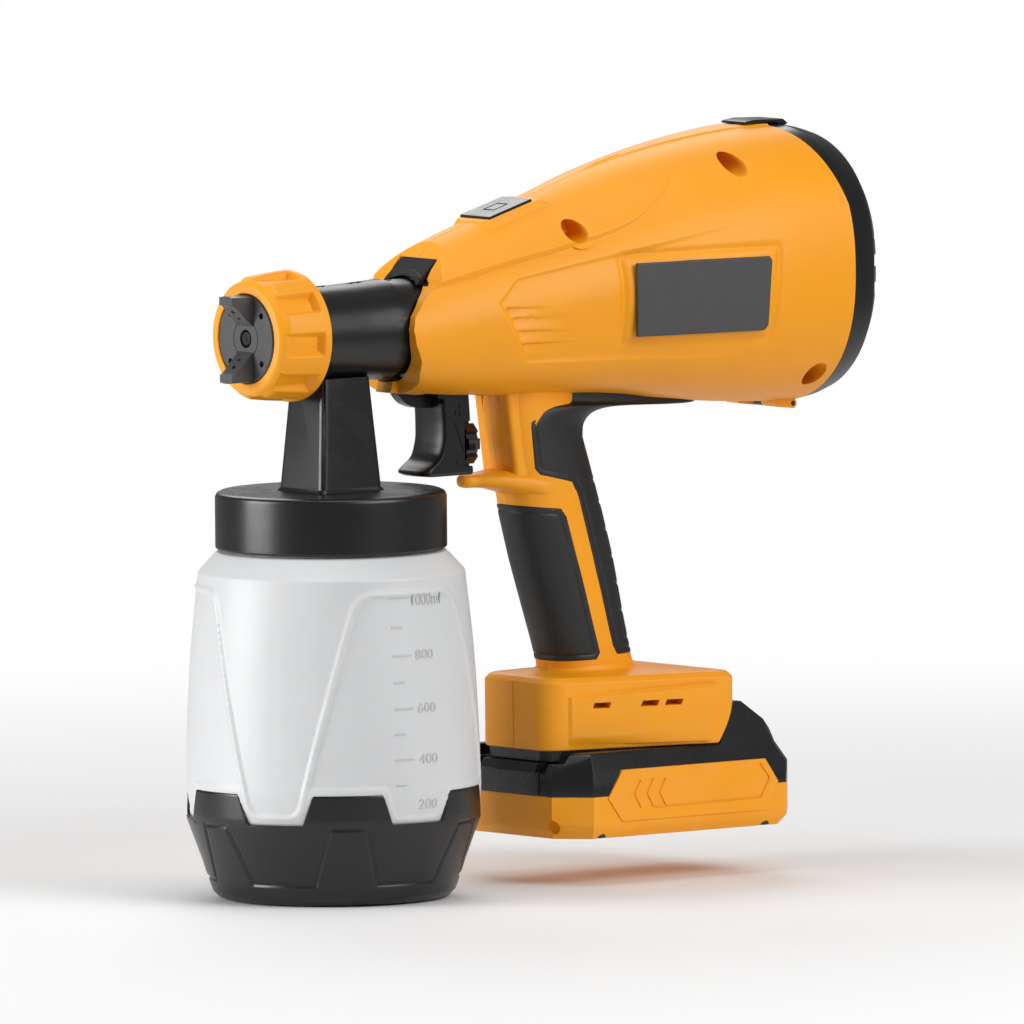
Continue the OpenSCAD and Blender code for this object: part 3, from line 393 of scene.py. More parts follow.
def add(tree, kind, settings=None, **inputs):
    """Shader node with its settings, whose inputs are linked to the sockets given or set to the values."""
    node = tree.nodes.new("ShaderNode" + kind)
    for key, value in (settings or {}).items():
        setattr(node, key, value)
    for key, value in inputs.items():
        socket = node.inputs[int(key[1:])] if key[1:].isdigit() else node.inputs[key.replace("_", " ")]
        if isinstance(value, bpy.types.NodeSocket):
            tree.links.new(value, socket)
        else:
            socket.default_value = value
    return node


def maths(tree, operation, a, b=0.0, c=0.0, clamp=False):
    """Result socket of a Math node."""
    return add(tree, "Math", {"operation": operation, "use_clamp": clamp}, i0=a, i1=b, i2=c).outputs[0]


def spread(tree, value, low, high, to_low=0.0, to_high=1.0):
    """Result socket of a smooth Map Range."""
    return add(tree, "MapRange", {"interpolation_type": "SMOOTHSTEP"}, i0=value, i1=low, i2=high,
               i3=to_low, i4=to_high).outputs[0]


def blend(tree, factor, a, b):
    """Colour socket that goes from a to b with the factor."""
    return add(tree, "Mix", {"data_type": "RGBA"}, i0=factor, i6=a, i7=b).outputs[2]


def new_group(name, inputs, outputs):
    """Empty shader group with its sockets, and its input and output nodes."""
    tree = bpy.data.node_groups.new(name, "ShaderNodeTree")
    for label, default in inputs:
        kind = "NodeSocketFloat" if isinstance(default, float) else "NodeSocketColor"
        tree.interface.new_socket(label, in_out="INPUT", socket_type=kind).default_value = default
    for label in outputs:
        tree.interface.new_socket(label, in_out="OUTPUT", socket_type="NodeSocketFloat")
    return tree, tree.nodes.new("NodeGroupInput"), tree.nodes.new("NodeGroupOutput")


def grain_group():
    """Spark-eroded texture of a mould: Grain is its height, and Mottle a slow drift of tone."""
    if "Mould Grain" in bpy.data.node_groups:
        return bpy.data.node_groups["Mould Grain"]
    tree, inp, out = new_group("Mould Grain", [("Scale", 900.0), ("Drift", 22.0)], ["Grain", "Mottle"])
    where = add(tree, "TexCoord").outputs["Object"]
    fine = add(tree, "TexNoise", Vector=where, Scale=inp.outputs["Scale"], Detail=2.0, Roughness=0.6)
    cells = add(tree, "TexVoronoi", {"feature": "SMOOTH_F1"}, Vector=where, Scale=inp.outputs["Scale"])
    slow = add(tree, "TexNoise", Vector=where, Scale=inp.outputs["Drift"], Detail=4.0, Roughness=0.55)
    height = maths(tree, "MULTIPLY_ADD", cells.outputs["Distance"], 0.6, fine.outputs[0])
    tree.links.new(height, out.inputs["Grain"])
    tree.links.new(spread(tree, slow.outputs[0], 0.3, 0.7), out.inputs["Mottle"])
    return tree


def wear_group():
    """Edge is 1 on rubbed convex edges, and Dust is 1 where dust settles on faces that look up."""
    if "Rubbed Edges" in bpy.data.node_groups:
        return bpy.data.node_groups["Rubbed Edges"]
    tree, inp, out = new_group("Rubbed Edges", [("Spread", 0.06), ("Patch", 60.0)], ["Edge", "Dust"])
    geometry = add(tree, "NewGeometry")
    where = add(tree, "TexCoord").outputs["Object"]
    patch = add(tree, "TexNoise", Vector=where, Scale=inp.outputs["Patch"], Detail=5.0, Roughness=0.65).outputs[0]
    edge = maths(tree, "SUBTRACT", geometry.outputs["Pointiness"], 0.5)
    edge = maths(tree, "DIVIDE", edge, inp.outputs["Spread"], clamp=True)
    tree.links.new(maths(tree, "MULTIPLY", edge, spread(tree, patch, 0.35, 0.6)), out.inputs["Edge"])
    up = add(tree, "SeparateXYZ", Vector=geometry.outputs["Normal"]).outputs["Z"]
    dust = maths(tree, "MULTIPLY", spread(tree, up, 0.2, 1.0), spread(tree, patch, 0.4, 0.7))
    tree.links.new(dust, out.inputs["Dust"])
    return tree


def moulded(name, colour, rough=0.45, grain=900.0, depth=0.02, drift=0.06, edge=0.12, dust=0.05, **sockets):
    """Material for a moulded, turned or painted surface: its colour drifts by drift, its rubbed edges are lighter
    by edge, dust dulls the faces that look up, and grain of the given depth (mm) breaks up its gloss."""
    if name in bpy.data.materials:
        return bpy.data.materials[name]
    material = bpy.data.materials.new(name)
    material.use_nodes = True
    tree = material.node_tree
    shader = tree.nodes["Principled BSDF"]
    texture = tree.nodes.new("ShaderNodeGroup")
    texture.node_tree = grain_group()
    texture.inputs["Scale"].default_value = grain
    wear = tree.nodes.new("ShaderNodeGroup")
    wear.node_tree = wear_group()
    worn, dusty = (maths(tree, "MULTIPLY", wear.outputs[k], v) for k, v in (("Edge", edge), ("Dust", dust)))
    base = np.array(colour[:3], float)
    dark, light = [(*np.clip(base * (1 + k), 0, 1), 1.0) for k in (-drift, drift)]
    tone = blend(tree, texture.outputs["Mottle"], dark, light)
    tone = blend(tree, worn, tone, (*(base * 0.4 + 0.6), 1.0))
    tone = blend(tree, dusty, tone, (0.55, 0.53, 0.5, 1.0))
    tree.links.new(tone, shader.inputs["Base Color"])
    gloss = maths(tree, "MULTIPLY_ADD", texture.outputs["Mottle"], 0.05, rough - 0.025)
    gloss = maths(tree, "MULTIPLY_ADD", wear.outputs["Edge"], -0.08, gloss)
    gloss = maths(tree, "MULTIPLY_ADD", wear.outputs["Dust"], dust, gloss)
    tree.links.new(gloss, shader.inputs["Roughness"])
    bump = add(tree, "Bump", Strength=0.5, Distance=depth * MM, Height=texture.outputs["Grain"])
    tree.links.new(bump.outputs[0], shader.inputs["Normal"])
    for key, value in sockets.items():
        shader.inputs[key.replace("_", " ")].default_value = value
    return material


# Finishes of the new pieces: material, slot, colour (a name is the panel's colour) and settings
FINISHES = {
    "shell": ("Orange moulded shell", "orange_shell", "shell",
              dict(rough=0.46, grain=1500, depth=0.012, drift=0.02, edge=0.03, dust=0.0, Specular_IOR_Level=0.42)),
    "plastic": ("Black satin plastic", "black_plastic", "plastic",
                dict(rough=0.31, grain=1400, depth=0.012, drift=0.05, edge=0.008, dust=0.0)),
    "cap": ("Dark grey plastic", "black_plastic", "cap",
            dict(rough=0.42, grain=1400, depth=0.012, drift=0.05, edge=0.01, dust=0.0)),
    "rubber": ("Soft grip rubber", "soft_grip", "rubber",
               dict(rough=0.5, grain=1100, depth=0.03, drift=0.06, edge=0.008, dust=0.0)),
    "bottle": ("Milky bottle", "bottle", "bottle",
               dict(rough=0.42, grain=500, depth=0.02, drift=0.015, edge=0.2, dust=0.0, Subsurface_Weight=0.08,
                    Subsurface_Scale=0.0015)),
    # The scale's marks are greyer than the bottle, which paints the shade that shows their raised edges.
    "mark": ("Scale mark", "bottle", (0.5, 0.51, 0.52),
             dict(rough=0.45, grain=900, depth=0.01, drift=0.02, edge=0.0, dust=0.0)),
    "plate": ("Grey plate", "badge_plate", "plate",
              dict(rough=0.5, grain=2200, depth=0.008, drift=0.04, edge=0.01, dust=0.0)),
    # Dark steel: the needle's dark colour paints the shade inside the air cap's centre hole; the cover pin and the
    # battery's screws share this finish.
    "dark_steel_and_painted_shade": ("Blackened steel", "steel", (0.03, 0.03, 0.031),
                   dict(rough=0.5, grain=2500, depth=0.004, drift=0.04, edge=0.0, dust=0.0, Metallic=0.3)),
    "steel": ("Turned steel", "steel", (0.6, 0.6, 0.61),
              dict(rough=0.3, grain=2500, depth=0.004, drift=0.04, edge=0.1, dust=0.02, Metallic=1.0)),
    "brass": ("Turned brass", "brass", (0.72, 0.53, 0.24),
              dict(rough=0.3, grain=2500, depth=0.004, drift=0.06, edge=0.1, dust=0.02, Metallic=1.0)),
}


def finish(key):
    """Material of a row of FINISHES."""
    name, _, colour, settings = FINISHES[key]
    if isinstance(colour, str):
        colour = getattr(bpy.context.scene.sprayer_colours, colour)
    return moulded(name, colour, **settings)


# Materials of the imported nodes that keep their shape
INNER = {
    "pickup_tube": ("Clear tube", dict(colour=(0.75, 0.77, 0.75), rough=0.25, Transmission_Weight=0.4)),
    "lid_gasket": ("Gasket rubber", dict(colour=(0.4, 0.42, 0.43), rough=0.6)),
    "power_switch": ("Switch case", dict(colour=(0.03, 0.032, 0.036), rough=0.5)),
    "switch_plunger": ("Nylon plunger", dict(colour=(0.68, 0.67, 0.62))),
    "air_duct": ("Grey duct", dict(colour=(0.24, 0.26, 0.28), rough=0.5, grain=700)),
    "turbine_housing": ("Turbine casing", dict(colour=(0.14, 0.15, 0.16), rough=0.5, grain=700)),
    "motor": ("Zinc motor can", dict(colour=(0.5, 0.52, 0.54), rough=0.35, Metallic=1.0, depth=0.006)),
    "motor_mount": ("Mount rubber", dict(colour=(0.02, 0.02, 0.022), rough=0.7, depth=0.03)),
    "fan_impeller": ("White impeller", dict(colour=(0.75, 0.75, 0.73), rough=0.4)),
    "filter_frame": ("Frame plastic", dict(colour=(0.035, 0.037, 0.042), rough=0.5)),
    "air_filter": ("Open foam", dict(colour=(0.05, 0.053, 0.058), rough=0.9, grain=420, depth=0.6, drift=0.3)),
    "control_board": ("Solder mask", dict(colour=(0.02, 0.14, 0.06), rough=0.3, Coat_Weight=0.4, grain=500)),
    "battery_cells": ("Shrink wrap", dict(colour=(0.08, 0.2, 0.36), rough=0.3, Coat_Weight=0.3, grain=200)),
}
INNER_METAL = {
    "steel": ("needle_spring", "trigger_spring", "trigger_pin", "lock_spring", "wheel_spindle", "motor_shaft",
              "battery_spring"),
    "brass": ("packing_nut", "terminal_block", "battery_contacts"),
    # The needle's dark steel paints the shade inside the air cap's centre hole.
    "dark_steel_and_painted_shade": ("needle", "cover_pin"),
}


# ---- Gun body ----

# Stations of the body: x, half-width, top, bottom, exponent below, exponent above
BODY = np.array([
    [12, 24.5, 241, 200.5, 2.3, 2.1], [26, 28.2, 248.5, 198.2, 2.35, 2], [46, 31.6, 257.6, 195.8, 2.4, 1.9],
    [67, 34.8, 265, 194.6, 2.45, 1.85], [99, 40, 274.4, 194, 2.45, 1.85], [135, 46, 285.6, 192.6, 2.4, 1.95],
    [165, 50.6, 292.4, 190.2, 2.35, 2.1], [200, 54.8, 297.4, 187.2, 2.35, 2.25], [225, 56.6, 298.2, 186, 2.35, 2.35]])
# Stations of the handle: z, centre x, half-depth, half-width
HANDLE = np.array([
    [82, 130, 20, 16.2], [92, 127.3, 19.2, 16], [104, 123.9, 19.6, 16.1], [118, 120.1, 20.4, 16.3],
    [132, 116.3, 21, 16.4], [146, 112.4, 21, 16.2], [156, 109.7, 20.6, 16], [166, 106.6, 20.9, 15.4],
    [178, 103.5, 20.4, 14.8], [190, 101.2, 19.4, 14.6], [202, 101, 19.2, 14.6]])
MOUTH = [[0, 270], [62, 270], [51.3, 259.3], [45.6, 253.2], [42.5, 249.6], [39.5, 244.5], [31.5, 238.5],
         [25.2, 232], [23.6, 227], [24.4, 221], [27.3, 214.6], [28.6, 208], [27.6, 202], [25, 197], [24, 190], [0, 190]]
CHEEK = [[0, 209], [28.4, 209], [30.4, 205.4], [31.2, 199], [31.4, 190], [0, 190]]
TONGUE_PLANE = [[26, 235.9], [46.0, 253.4], [46.0, 264], [26, 264]]
SCREWS = [(104, 262.5), (182, 285.5), (217, 199.5)]
SIDE_PANEL = [(76.3, 209.9), (230, 209.2), (230, 272.6), (72.8, 246.6), (62.3, 236.6)]
GILLS = [((66.4, 234.6), (82.2, 233.7)), ((68.8, 229.8), (91.4, 229.2)), ((71.5, 224.1), (94.4, 223.3)),
         ((74, 218.3), (96.4, 218.3))]
SHOULDER = [[30, 243.4, 2.5], [38, 244.8, 2.5], [75, 252.8, 2.4], [103, 258.5, 1.9], [131.4, 267.4, 1.3],
            [143.3, 274.3, 0.8], [150.6, 279.6, 0.3], [160, 288, 0.0], [225, 310, 0.0]]
COVER_LINE = [[225.05, 268], [219.05, 300.2], [219.05, 310]]
PLATE_EDGE = [(122.9, 220), (182.4, 220), (184.6, 249.4), (122.9, 249.4)]
SEAM = 0.09
ROOM_INSET = 5.2
SCREW_HEAD_R, SCREW_SHANK_R, BOSS_R, SCREW_FLOOR_Y = 4.7, 1.7, 6.9, -14
PLATE_SEAT = [[-31.15, -14.55], [27.7, -14.55], [29.55, -12.5], [31.55, 13.9], [30.3, 15.35], [-31.15, 15.35]]
COVER_GROOVES = (233.2, 244.4, 255.3)
HINGE_EAR = (7.8, 15.8)
LOCK_POCKET = ((-11.6, -9.9, -8), (11.6, 9.9, 20))


def body_half(side, inset, xs, m):
    """Half rings of the body at the stations xs, from the underside round the side to the top: a superellipse
    whose exponent changes at its middle. Points near the seam are drawn in to leave a fine groove."""
    s = flow(BODY, xs)
    t = np.radians(np.concatenate([[-90, -89.2], np.linspace(-88, 88, m - 4), [89.2, 90]]))[None, :]
    exponent = np.where(t > 0, s[:, 4:5], s[:, 3:4])
    half_w, half_h = s[:, 0:1] - inset, (s[:, 1:2] - s[:, 2:3]) / 2 - inset
    y = np.maximum(half_w * np.abs(np.cos(t)) ** (2 / exponent), SEAM)
    z = (s[:, 1:2] + s[:, 2:3]) / 2 + half_h * power(np.sin(t), 2 / exponent)
    x = np.broadcast_to(xs[:, None], y.shape)
    return np.stack([x, side * y, z], axis=-1)


def body_ring(x, inset, m):
    """Whole ring of the body's section at x, or of its last section behind it, drawn in by inset."""
    half_w, top, bottom, low_e, high_e = flow(BODY, [min(x, BODY_REAR_X)])[0]
    t = np.linspace(0, 2 * np.pi, m, endpoint=False)
    e = 2 / np.where(np.sin(t) > 0, high_e, low_e)
    return np.column_stack([np.full(m, x), (half_w - inset) * power(np.cos(t), e),
                            (top + bottom) / 2 + ((top - bottom) / 2 - inset) * power(np.sin(t), e)])


def outward(rings, side):
    """Unit normals of a half surface, from the cross product of its two directions."""
    du, dv = np.gradient(rings, axis=0), np.gradient(rings, axis=1)
    n = np.cross(du, dv)
    n /= np.linalg.norm(n, axis=-1, keepdims=True) + 1e-12
    middle = n[:, n.shape[1] // 2, 1].mean()
    return n * (side * (1 if middle > 0 else -1))


def body_relief(x, y, z):
    """Height in mm of the pressed lines over the plain body, seen from the side: the shoulder step, the sunk side
    panel, its four gills, the frame round the plate, the spine and the seam's groove. A gill drops sharply under
    its line and comes back up over the next 4 mm, and it dies out towards the rear."""
    line = flow(SHOULDER, x)
    d = -line[..., 1] * (1 - ramp(z, line[..., 0] - 0.9, line[..., 0] + 0.9))
    edge = outline_distance(x, z, SIDE_PANEL, 1.0)
    d = d - 1.0 * (1 - ramp(edge, -1.3, 0.3)) * (1 - ramp(x, 110, 200))
    for p, q in GILLS:
        length = math.hypot(q[0] - p[0], q[1] - p[1])
        t = ((x - p[0]) * (q[0] - p[0]) + (z - p[1]) * (q[1] - p[1])) / length
        below = -line_distance(x, z, p, q)
        drop = ramp(below, -0.5, 0.5) * (1 - np.clip((below - 0.5) / 4.0, 0, 1))
        d = d - 1.5 * drop * ramp(t, -0.8, 0.8) * (1 - np.clip(t / (length * 1.15), 0, 1))
    frame_edge = outline_distance(x, z, PLATE_EDGE, 3.0)
    border = 0.3 * (1 - ramp(frame_edge, 1.0, 3.2)) - 0.9 * np.exp(-((frame_edge - 4.1) / 1.3) ** 2)
    d = d + border * (y < 0)
    spine = 0.6 + 7.5 * ramp(x, 126, 215)
    d = d + 0.7 * (1 - ramp(np.abs(y), spine - 0.5, spine + 0.7)) * ramp(z, 262, 270) * ramp(x, 118, 134)
    return d - 0.3 * (1 - ramp(np.abs(y), 0.1, 0.75))


def plate_matrix():
    """Place of the plate on the side of the body, in metres."""
    return Matrix.Translation(Vector((153.5, -48.3, 234.2)) * MM) @ Matrix.Rotation(math.radians(-9.4), 4, "Z")


def lock_matrix():
    """Place of the lock button on the slope of the body, in metres."""
    return Matrix.Translation(Vector((86, 0, 269.6)) * MM) @ Matrix.Rotation(math.radians(-16), 4, "Y")


def lock_pocket(side):
    """Room for the lock button, square to the slope of the body."""
    return place(box_solid(half_name("lock_pocket", side), *LOCK_POCKET), lock_matrix())


def screw_recess(x, z, n):
    """Hole that a screw's head goes down, from outside the left half to the floor it rests on."""
    return rod("screw_recess", (x - 0.6, -70, z), (x - 0.6, SCREW_FLOOR_Y, z), SCREW_HEAD_R, n)


def body_cutters(side):
    """Solids taken out of a body half: the room inside, the turbine's bore, the mouth and the throat behind it, the
    cheek, the slots of the trigger and its lever, the tongue's window, the cover's seat, the lock's pocket, and on
    the left the plate's seat and the screw holes."""
    bore = [[0, 199], [51.5, 199], [51.9, 223.4], [53.4, 223.4], [53.4, 230], [0, 230]]
    throat = [[0, 0], [21.4, 0], [21.4, 37.9], [23.4, 37.9], [23.4, 47.5], [0, 47.5]]
    room = body_half(side, ROOM_INSET, np.linspace(47, 222.8, count(40)), count(60))
    boxes = {"trigger_slot": ((40.4, -10.6, 190), (72.4, 10.6, 210)), "arm_slot": ((28.7, -4.2, 190), (45, 4.2, 210)),
             "lever_mouth": ((78, -5.9, 186), (90, 5.9, 196)), "tongue_window": ((34, -12.2, 238), (46.4, 12.2, 258))}
    cutters = [loft("room", room), turn_solid("bore", bore, count(160), (0, 242), "x"), prism("mouth", MOUTH, -70, 70),
               turn_solid("throat", throat, count(128), (0, AXIS_Z), "x"),
               prism("cheek", CHEEK, *sorted((side * 4.7, side * 60))),
               prism("cover_wedge", COVER_LINE + [[240, 310], [240, 268]], -70, 70), lock_pocket(side)]
    cutters += [box_solid(name, *corners) for name, corners in boxes.items()]
    if side < 0:
        cutters.append(place(prism("plate_seat", PLATE_SEAT, -9, 1.4), plate_matrix()))
        cutters += [screw_recess(x, z, count(48)) for x, z in SCREWS]
    return cutters


def cover_skin():
    """Outer skin of the intake cover: the body's last section carried back and drawn in, with a lip that reaches
    forward at the top and three grooves across its side."""
    outer = [(217, 0), (225.2, 0.05), (226, 0.15), (231.5, 1.0), (236.3, 2.5), (237.1, 3.1), (242.1, 8.2), (242.9, 9.3)]
    inner = [(242.9, 11.4), (236.7, 5.6), (229.2, 2.2), (225.2, 2.4), (217, 3)]
    obj = tube("cover_skin", [body_ring(x, inset, count(280)) for x, inset in outer + inner + outer[:1]])
    front = [[200, 150], [225.25, 150]] + [[x + 0.2, z] for x, z in COVER_LINE] + [[200, 310]]
    groove = [[237, -60], [237, -52.4], [243.5, -45.9], [243.5, -60]]
    return combine(obj, [prism("skin_front", front, -70, 70)] +
                   [loft("cover_groove", [level(groove, z - 2.5), level(groove, z + 2.5)]) for z in COVER_GROOVES])


def hinge_ears(side):
    """Ear at the rear lower corner that holds the cover's pin: the outline round a small circle at the pin and a
    larger one under the belly, with the pin's hole."""
    x, z = HINGE
    circles = np.array([[x, z, 1.9], [x - 7.5, z + 2, 3]])
    a = np.linspace(0, 2 * np.pi, 64, endpoint=False)
    away = np.stack([np.cos(a), np.sin(a)], axis=1)
    best = circles[np.argmax(away @ circles[:, :2].T + circles[:, 2], axis=1)]
    ends = sorted(side * y for y in HINGE_EAR)
    ear = prism(half_name("hinge_ear", side), best[:, :2] + away * best[:, 2:3], *ends)
    return combine(ear, [rod("pin_hole", (x, side * 5, z), (x, side * 20, z), 1.05, 32)])


def screw_bosses():
    """Tubes in the left half that the screws go down: rods kept inside the skin, with the screw's recess above a
    floor that the shank passes."""
    xs = np.linspace(60, 222.8, count(60))
    bosses = []
    for k, (x, z) in enumerate(SCREWS):
        boss = rod(f"boss_{k}", (x, -64, z), (x, -11.7, z), BOSS_R, count(64))
        combine(boss, [loft("boss_skin", body_half(-1, 1.3, xs, count(80)))], "INTERSECT")
        shank = rod("shank", (x, -20, z), (x, -5, z), SCREW_SHANK_R, 32)
        bosses.append(combine(boss, [screw_recess(x, z, count(64)), shank]))
    return bosses


def body_shell(side):
    """One half shell of the body: its fine skin with the pressed lines, less the room inside and the openings."""
    xs = np.linspace(BODY[0, 0], BODY_REAR_X, count(370))
    skin = body_half(side, 0, xs, count(240))
    normal = outward(skin, side)
    normal[..., 1] = side * np.abs(normal[..., 1])
    skin = skin + normal * body_relief(*np.moveaxis(skin, -1, 0))[..., None]
    skin[..., 0] = xs[:, None]
    skin[..., 1] = side * np.maximum(side * skin[..., 1], SEAM)
    return combine(loft(half_name("body_shell", side), skin), body_cutters(side))


def half_oval(cx, a, b, z, exponent, m, side):
    """Half ring round the +-Y side of a level superellipse with half-sizes a along X and b along Y."""
    t = np.linspace(0, np.pi, m)
    y = np.maximum(b * np.abs(np.sin(t)) ** (2 / exponent), SEAM)
    return level(np.column_stack([cx + a * power(np.cos(t), 2 / exponent), y]), z, side)


def handle_core(side):
    """Orange core of the handle: level superellipses along its leaning centre line."""
    zs = np.linspace(82, 202, count(90))
    rings = [half_oval(*s, z, 2.5, count(72), side) for z, s in zip(zs, flow(HANDLE, zs))]
    return loft(half_name("handle_core", side), rings)


def circles_outline(circles, grow, m):
    """Outline round a set of circles (x, y, radius), grown by grow: its point for each direction lies on the
    circle that reaches furthest that way. The half with y >= 0 comes back at m equal steps."""
    a = np.linspace(0, np.pi, 721)
    n = np.stack([np.cos(a), np.sin(a)], axis=1)
    c = np.array(circles, float)
    reach = n @ c[:, :2].T + c[:, 2]
    best = c[np.argmax(reach, axis=1)]
    points = best[:, :2] + n * (best[:, 2:3] + grow)
    points = points[points[:, 1] >= 0]
    points = np.vstack([[points[0, 0], 0], points, [points[-1, 0], 0]])
    return along(points, m)


def grooved(points, depth=0.5, half=0.4):
    """Half outline whose two ends, where it meets the other half, are drawn in to leave a parting groove."""
    first, last = points[0, 0], points[-1, 0]
    inward = depth * np.sign(last - first)
    middle = np.column_stack([points[1:-1, 0], np.maximum(points[1:-1, 1], half + 0.05)])
    return np.vstack([[first + inward, SEAM], [first, half], middle, [last, half], [last - inward, SEAM]])


# Circles that the foot's plan runs round, as x, y and radius, and the slope of its top
FOOT_CIRCLES = [(102.9, 14.2, 10.9), (170.6, 31.5, 7.1), (102.9, -14.2, 10.9), (170.6, -31.5, 7.1)]
FOOT_TILT = -0.008
# Height and growth of the foot's plan up to its rounded edge, then height and half-sizes of the collar
FOOT_EDGE = [(53.3, -0.9), (53.7, -0.25), (54.4, 0), (62, 0), (70, 0), (80.3, 0), (80.7, -0.2), (82.4, -2.1),
             (82.7, -2.6), (82.9, -3.8)]
COLLAR = [(84.4, 20.2, 17), (85, 19.6, 16.5), (86.2, 19.3, 16.2), (86.45, 18.8, 15.7), (86.75, 18.8, 15.7),
          (87, 19.2, 16.1), (88.4, 19, 15.9), (88.8, 18.3, 15.2)]
FOOT_PANEL = ([(-32.4, 76), (35, 78), (32.6, 55), (-32.4, 55.6)],
              [(-29.9, 74.6), (31.7, 76.6), (25.8, 60.2), (-29.9, 59.3)])
FOOT_SLOPE = [[165.4, 50], [167.2, 53.3], [175.4, 68.6], [182, 71], [190, 71], [190, 50]]
VENT_DEPTHS = (6, 1.4, 6, 6, 1.4)


def foot_half(side):
    """Foot of the handle: its plan is carried up, its top edge is rounded, and the slope above turns from the plan
    into the collar's oval. A raised panel and five slots, two of them blind, lie along its side."""
    m = count(150)
    t = np.linspace(0, np.pi, 721)

    def collar(a, b):
        return along(np.column_stack([128.9 + a * power(np.cos(t), 2 / 2.4), b * np.sin(t) ** (2 / 2.4)]), m)

    rows = [(circles_outline(FOOT_CIRCLES, grow, m), z) for z, grow in FOOT_EDGE]
    wide = circles_outline(FOOT_CIRCLES, -4.2, m)
    rows += [(wide * (1 - k) + collar(21.2, 18) * k, 83 + 1.1 * k ** 1.4) for k in np.linspace(0, 1, 9)]
    rows += [(collar(a, b), z) for z, a, b in COLLAR]
    rings = np.array([level(grooved(plan), z, side) for plan, z in rows])
    rings[..., 2] += FOOT_TILT * (rings[..., 0] - 91) * np.clip((rings[..., 2] - 56) / 24, 0, 1)
    turn = Matrix.Translation(Vector((131, side * 31.8, 0)) * MM) @ Matrix.Rotation(math.radians(side * 14.3), 4, "Z")
    low, high = FOOT_PANEL
    panel = loft("foot_panel", [upright(outline, side * y) for y, outline in ((-4, low), (-0.1, low), (1.7, high))])
    obj = combine(loft(half_name("foot", side), rings), [place(panel, turn)], "UNION")
    cutters = [prism("foot_slope", FOOT_SLOPE, -60, 60)]
    for k, depth in enumerate(VENT_DEPTHS):
        x = -16.6 + 10.6 * k
        slot = [[x - 4.2, 70.1], [x + 3.2, 70.1], [x + 4.1, 72.4], [x - 3.3, 72.4]]
        cutters.append(place(prism("vent", slot, -depth, depth), turn))
    return combine(obj, cutters)


def trigger_block_half(side):
    """Flat-fronted block behind the trigger, with rounded corners."""
    rings = []
    for z in np.linspace(160.5, 199, count(24)):
        front = np.interp(z, [160.5, 198.5], [86.6, 81.4])
        corner = [[104, SEAM], [104, 12.9], [front, 11.2], [front, 0.42]]
        rings.append(level(np.vstack([rounded(corner, 2.6, 7), [front + 0.5, SEAM]]), z, side))
    obj = loft(half_name("trigger_block", side), rings)
    return combine(obj, [box_solid("lever_mouth", (78, -5.9, 190.2), (90, 5.9, 199.5))])


def guard_half(side):
    """Pointed guard under the trigger: superellipses across X that swell from its tip into the handle. Its keys are
    x, half-width, top and bottom."""
    keys = [[65.7, 0.9, 163.5, 161.7], [66.1, 2.3, 164.4, 160.6], [67.2, 3.5, 165, 160], [71, 4.9, 165.3, 159.7],
            [77, 8.2, 165.8, 159.2], [84, 11.4, 166.4, 157.6], [92, 13.8, 166.4, 155.2], [98, 15.5, 166, 152.6],
            [106, 15.6, 166, 151.4]]
    xs = np.concatenate([[65.7, 65.8, 65.95], np.linspace(66.1, 106, count(70))])
    width, top, bottom = np.moveaxis(flow(keys, xs), -1, 0)[..., None]
    t = np.linspace(-np.pi / 2, np.pi / 2, count(40))[None, :]
    y = np.maximum(width * np.abs(np.cos(t)) ** (2 / 2.3), SEAM)
    z = (top + bottom) / 2 + (top - bottom) / 2 * power(np.sin(t), 2 / 2.3)
    return loft(half_name("guard", side), np.stack([np.broadcast_to(xs[:, None], y.shape), side * y, z], axis=-1))


def lock_pad_half(side):
    """Raised pad round the lock button: a rounded wedge on the body's slope with bevelled walls."""
    rings = []
    for z, grow in [(-14, 6.5), (-9, 5.2), (-4.4, 3.3), (0.9, -0.1), (1.3, -0.5), (1.45, -1.1)]:
        corner = [[16.6 + grow * 1.6, SEAM], [14.6 + grow * 1.6, 11.7 + grow], [-12.4 - grow, 10.9 + grow],
                  [-14.6 - grow, 7 + grow * 0.6], [-15.0 - grow, SEAM]]
        rings.append(level(rounded(corner, 1.6, 5), z, side))
    obj = place(loft(half_name("lock_pad", side), rings), lock_matrix())
    throat = turn_solid("pad_throat", [[0, 0], [22, 0], [22, 60], [0, 60]], 96, (0, AXIS_Z), "x")
    return combine(obj, [lock_pocket(side), throat])


# Side views of the two soft grips, anticlockwise
REAR_ZONE = [[133, 89.6], [240, 89.6], [240, 230], [94.4, 230], [94.4, 190.2], [91.4, 185.6], [93.4, 166.6],
             [95.6, 164], [110.4, 160.4], [113.4, 155], [130.6, 93.4]]
RIB_HEIGHTS = (96, 107, 118, 129, 140, 151, 160)
FRONT_ZONE = [[60, 85.6], [122.9, 88.1], [124.8, 91.2], [107.9, 147], [105.3, 150.5], [60, 155.3]]


def outline_gap(x, z, points):
    """Signed distance of (x, z) from any closed outline: its least distance to the edges, negative inside by
    the crossing rule."""
    p = np.asarray(points, float)
    best = polyline_gap(x, z, np.vstack([p, p[:1]]))
    inside = np.zeros(np.shape(x), bool)
    for a, b in zip(p, np.roll(p, -1, axis=0)):
        with np.errstate(divide="ignore", invalid="ignore"):
            inside ^= ((a[1] > z) != (b[1] > z)) & (x < (b[0] - a[0]) * (z - a[1]) / (b[1] - a[1]) + a[0])
    return np.where(inside, -best, best)


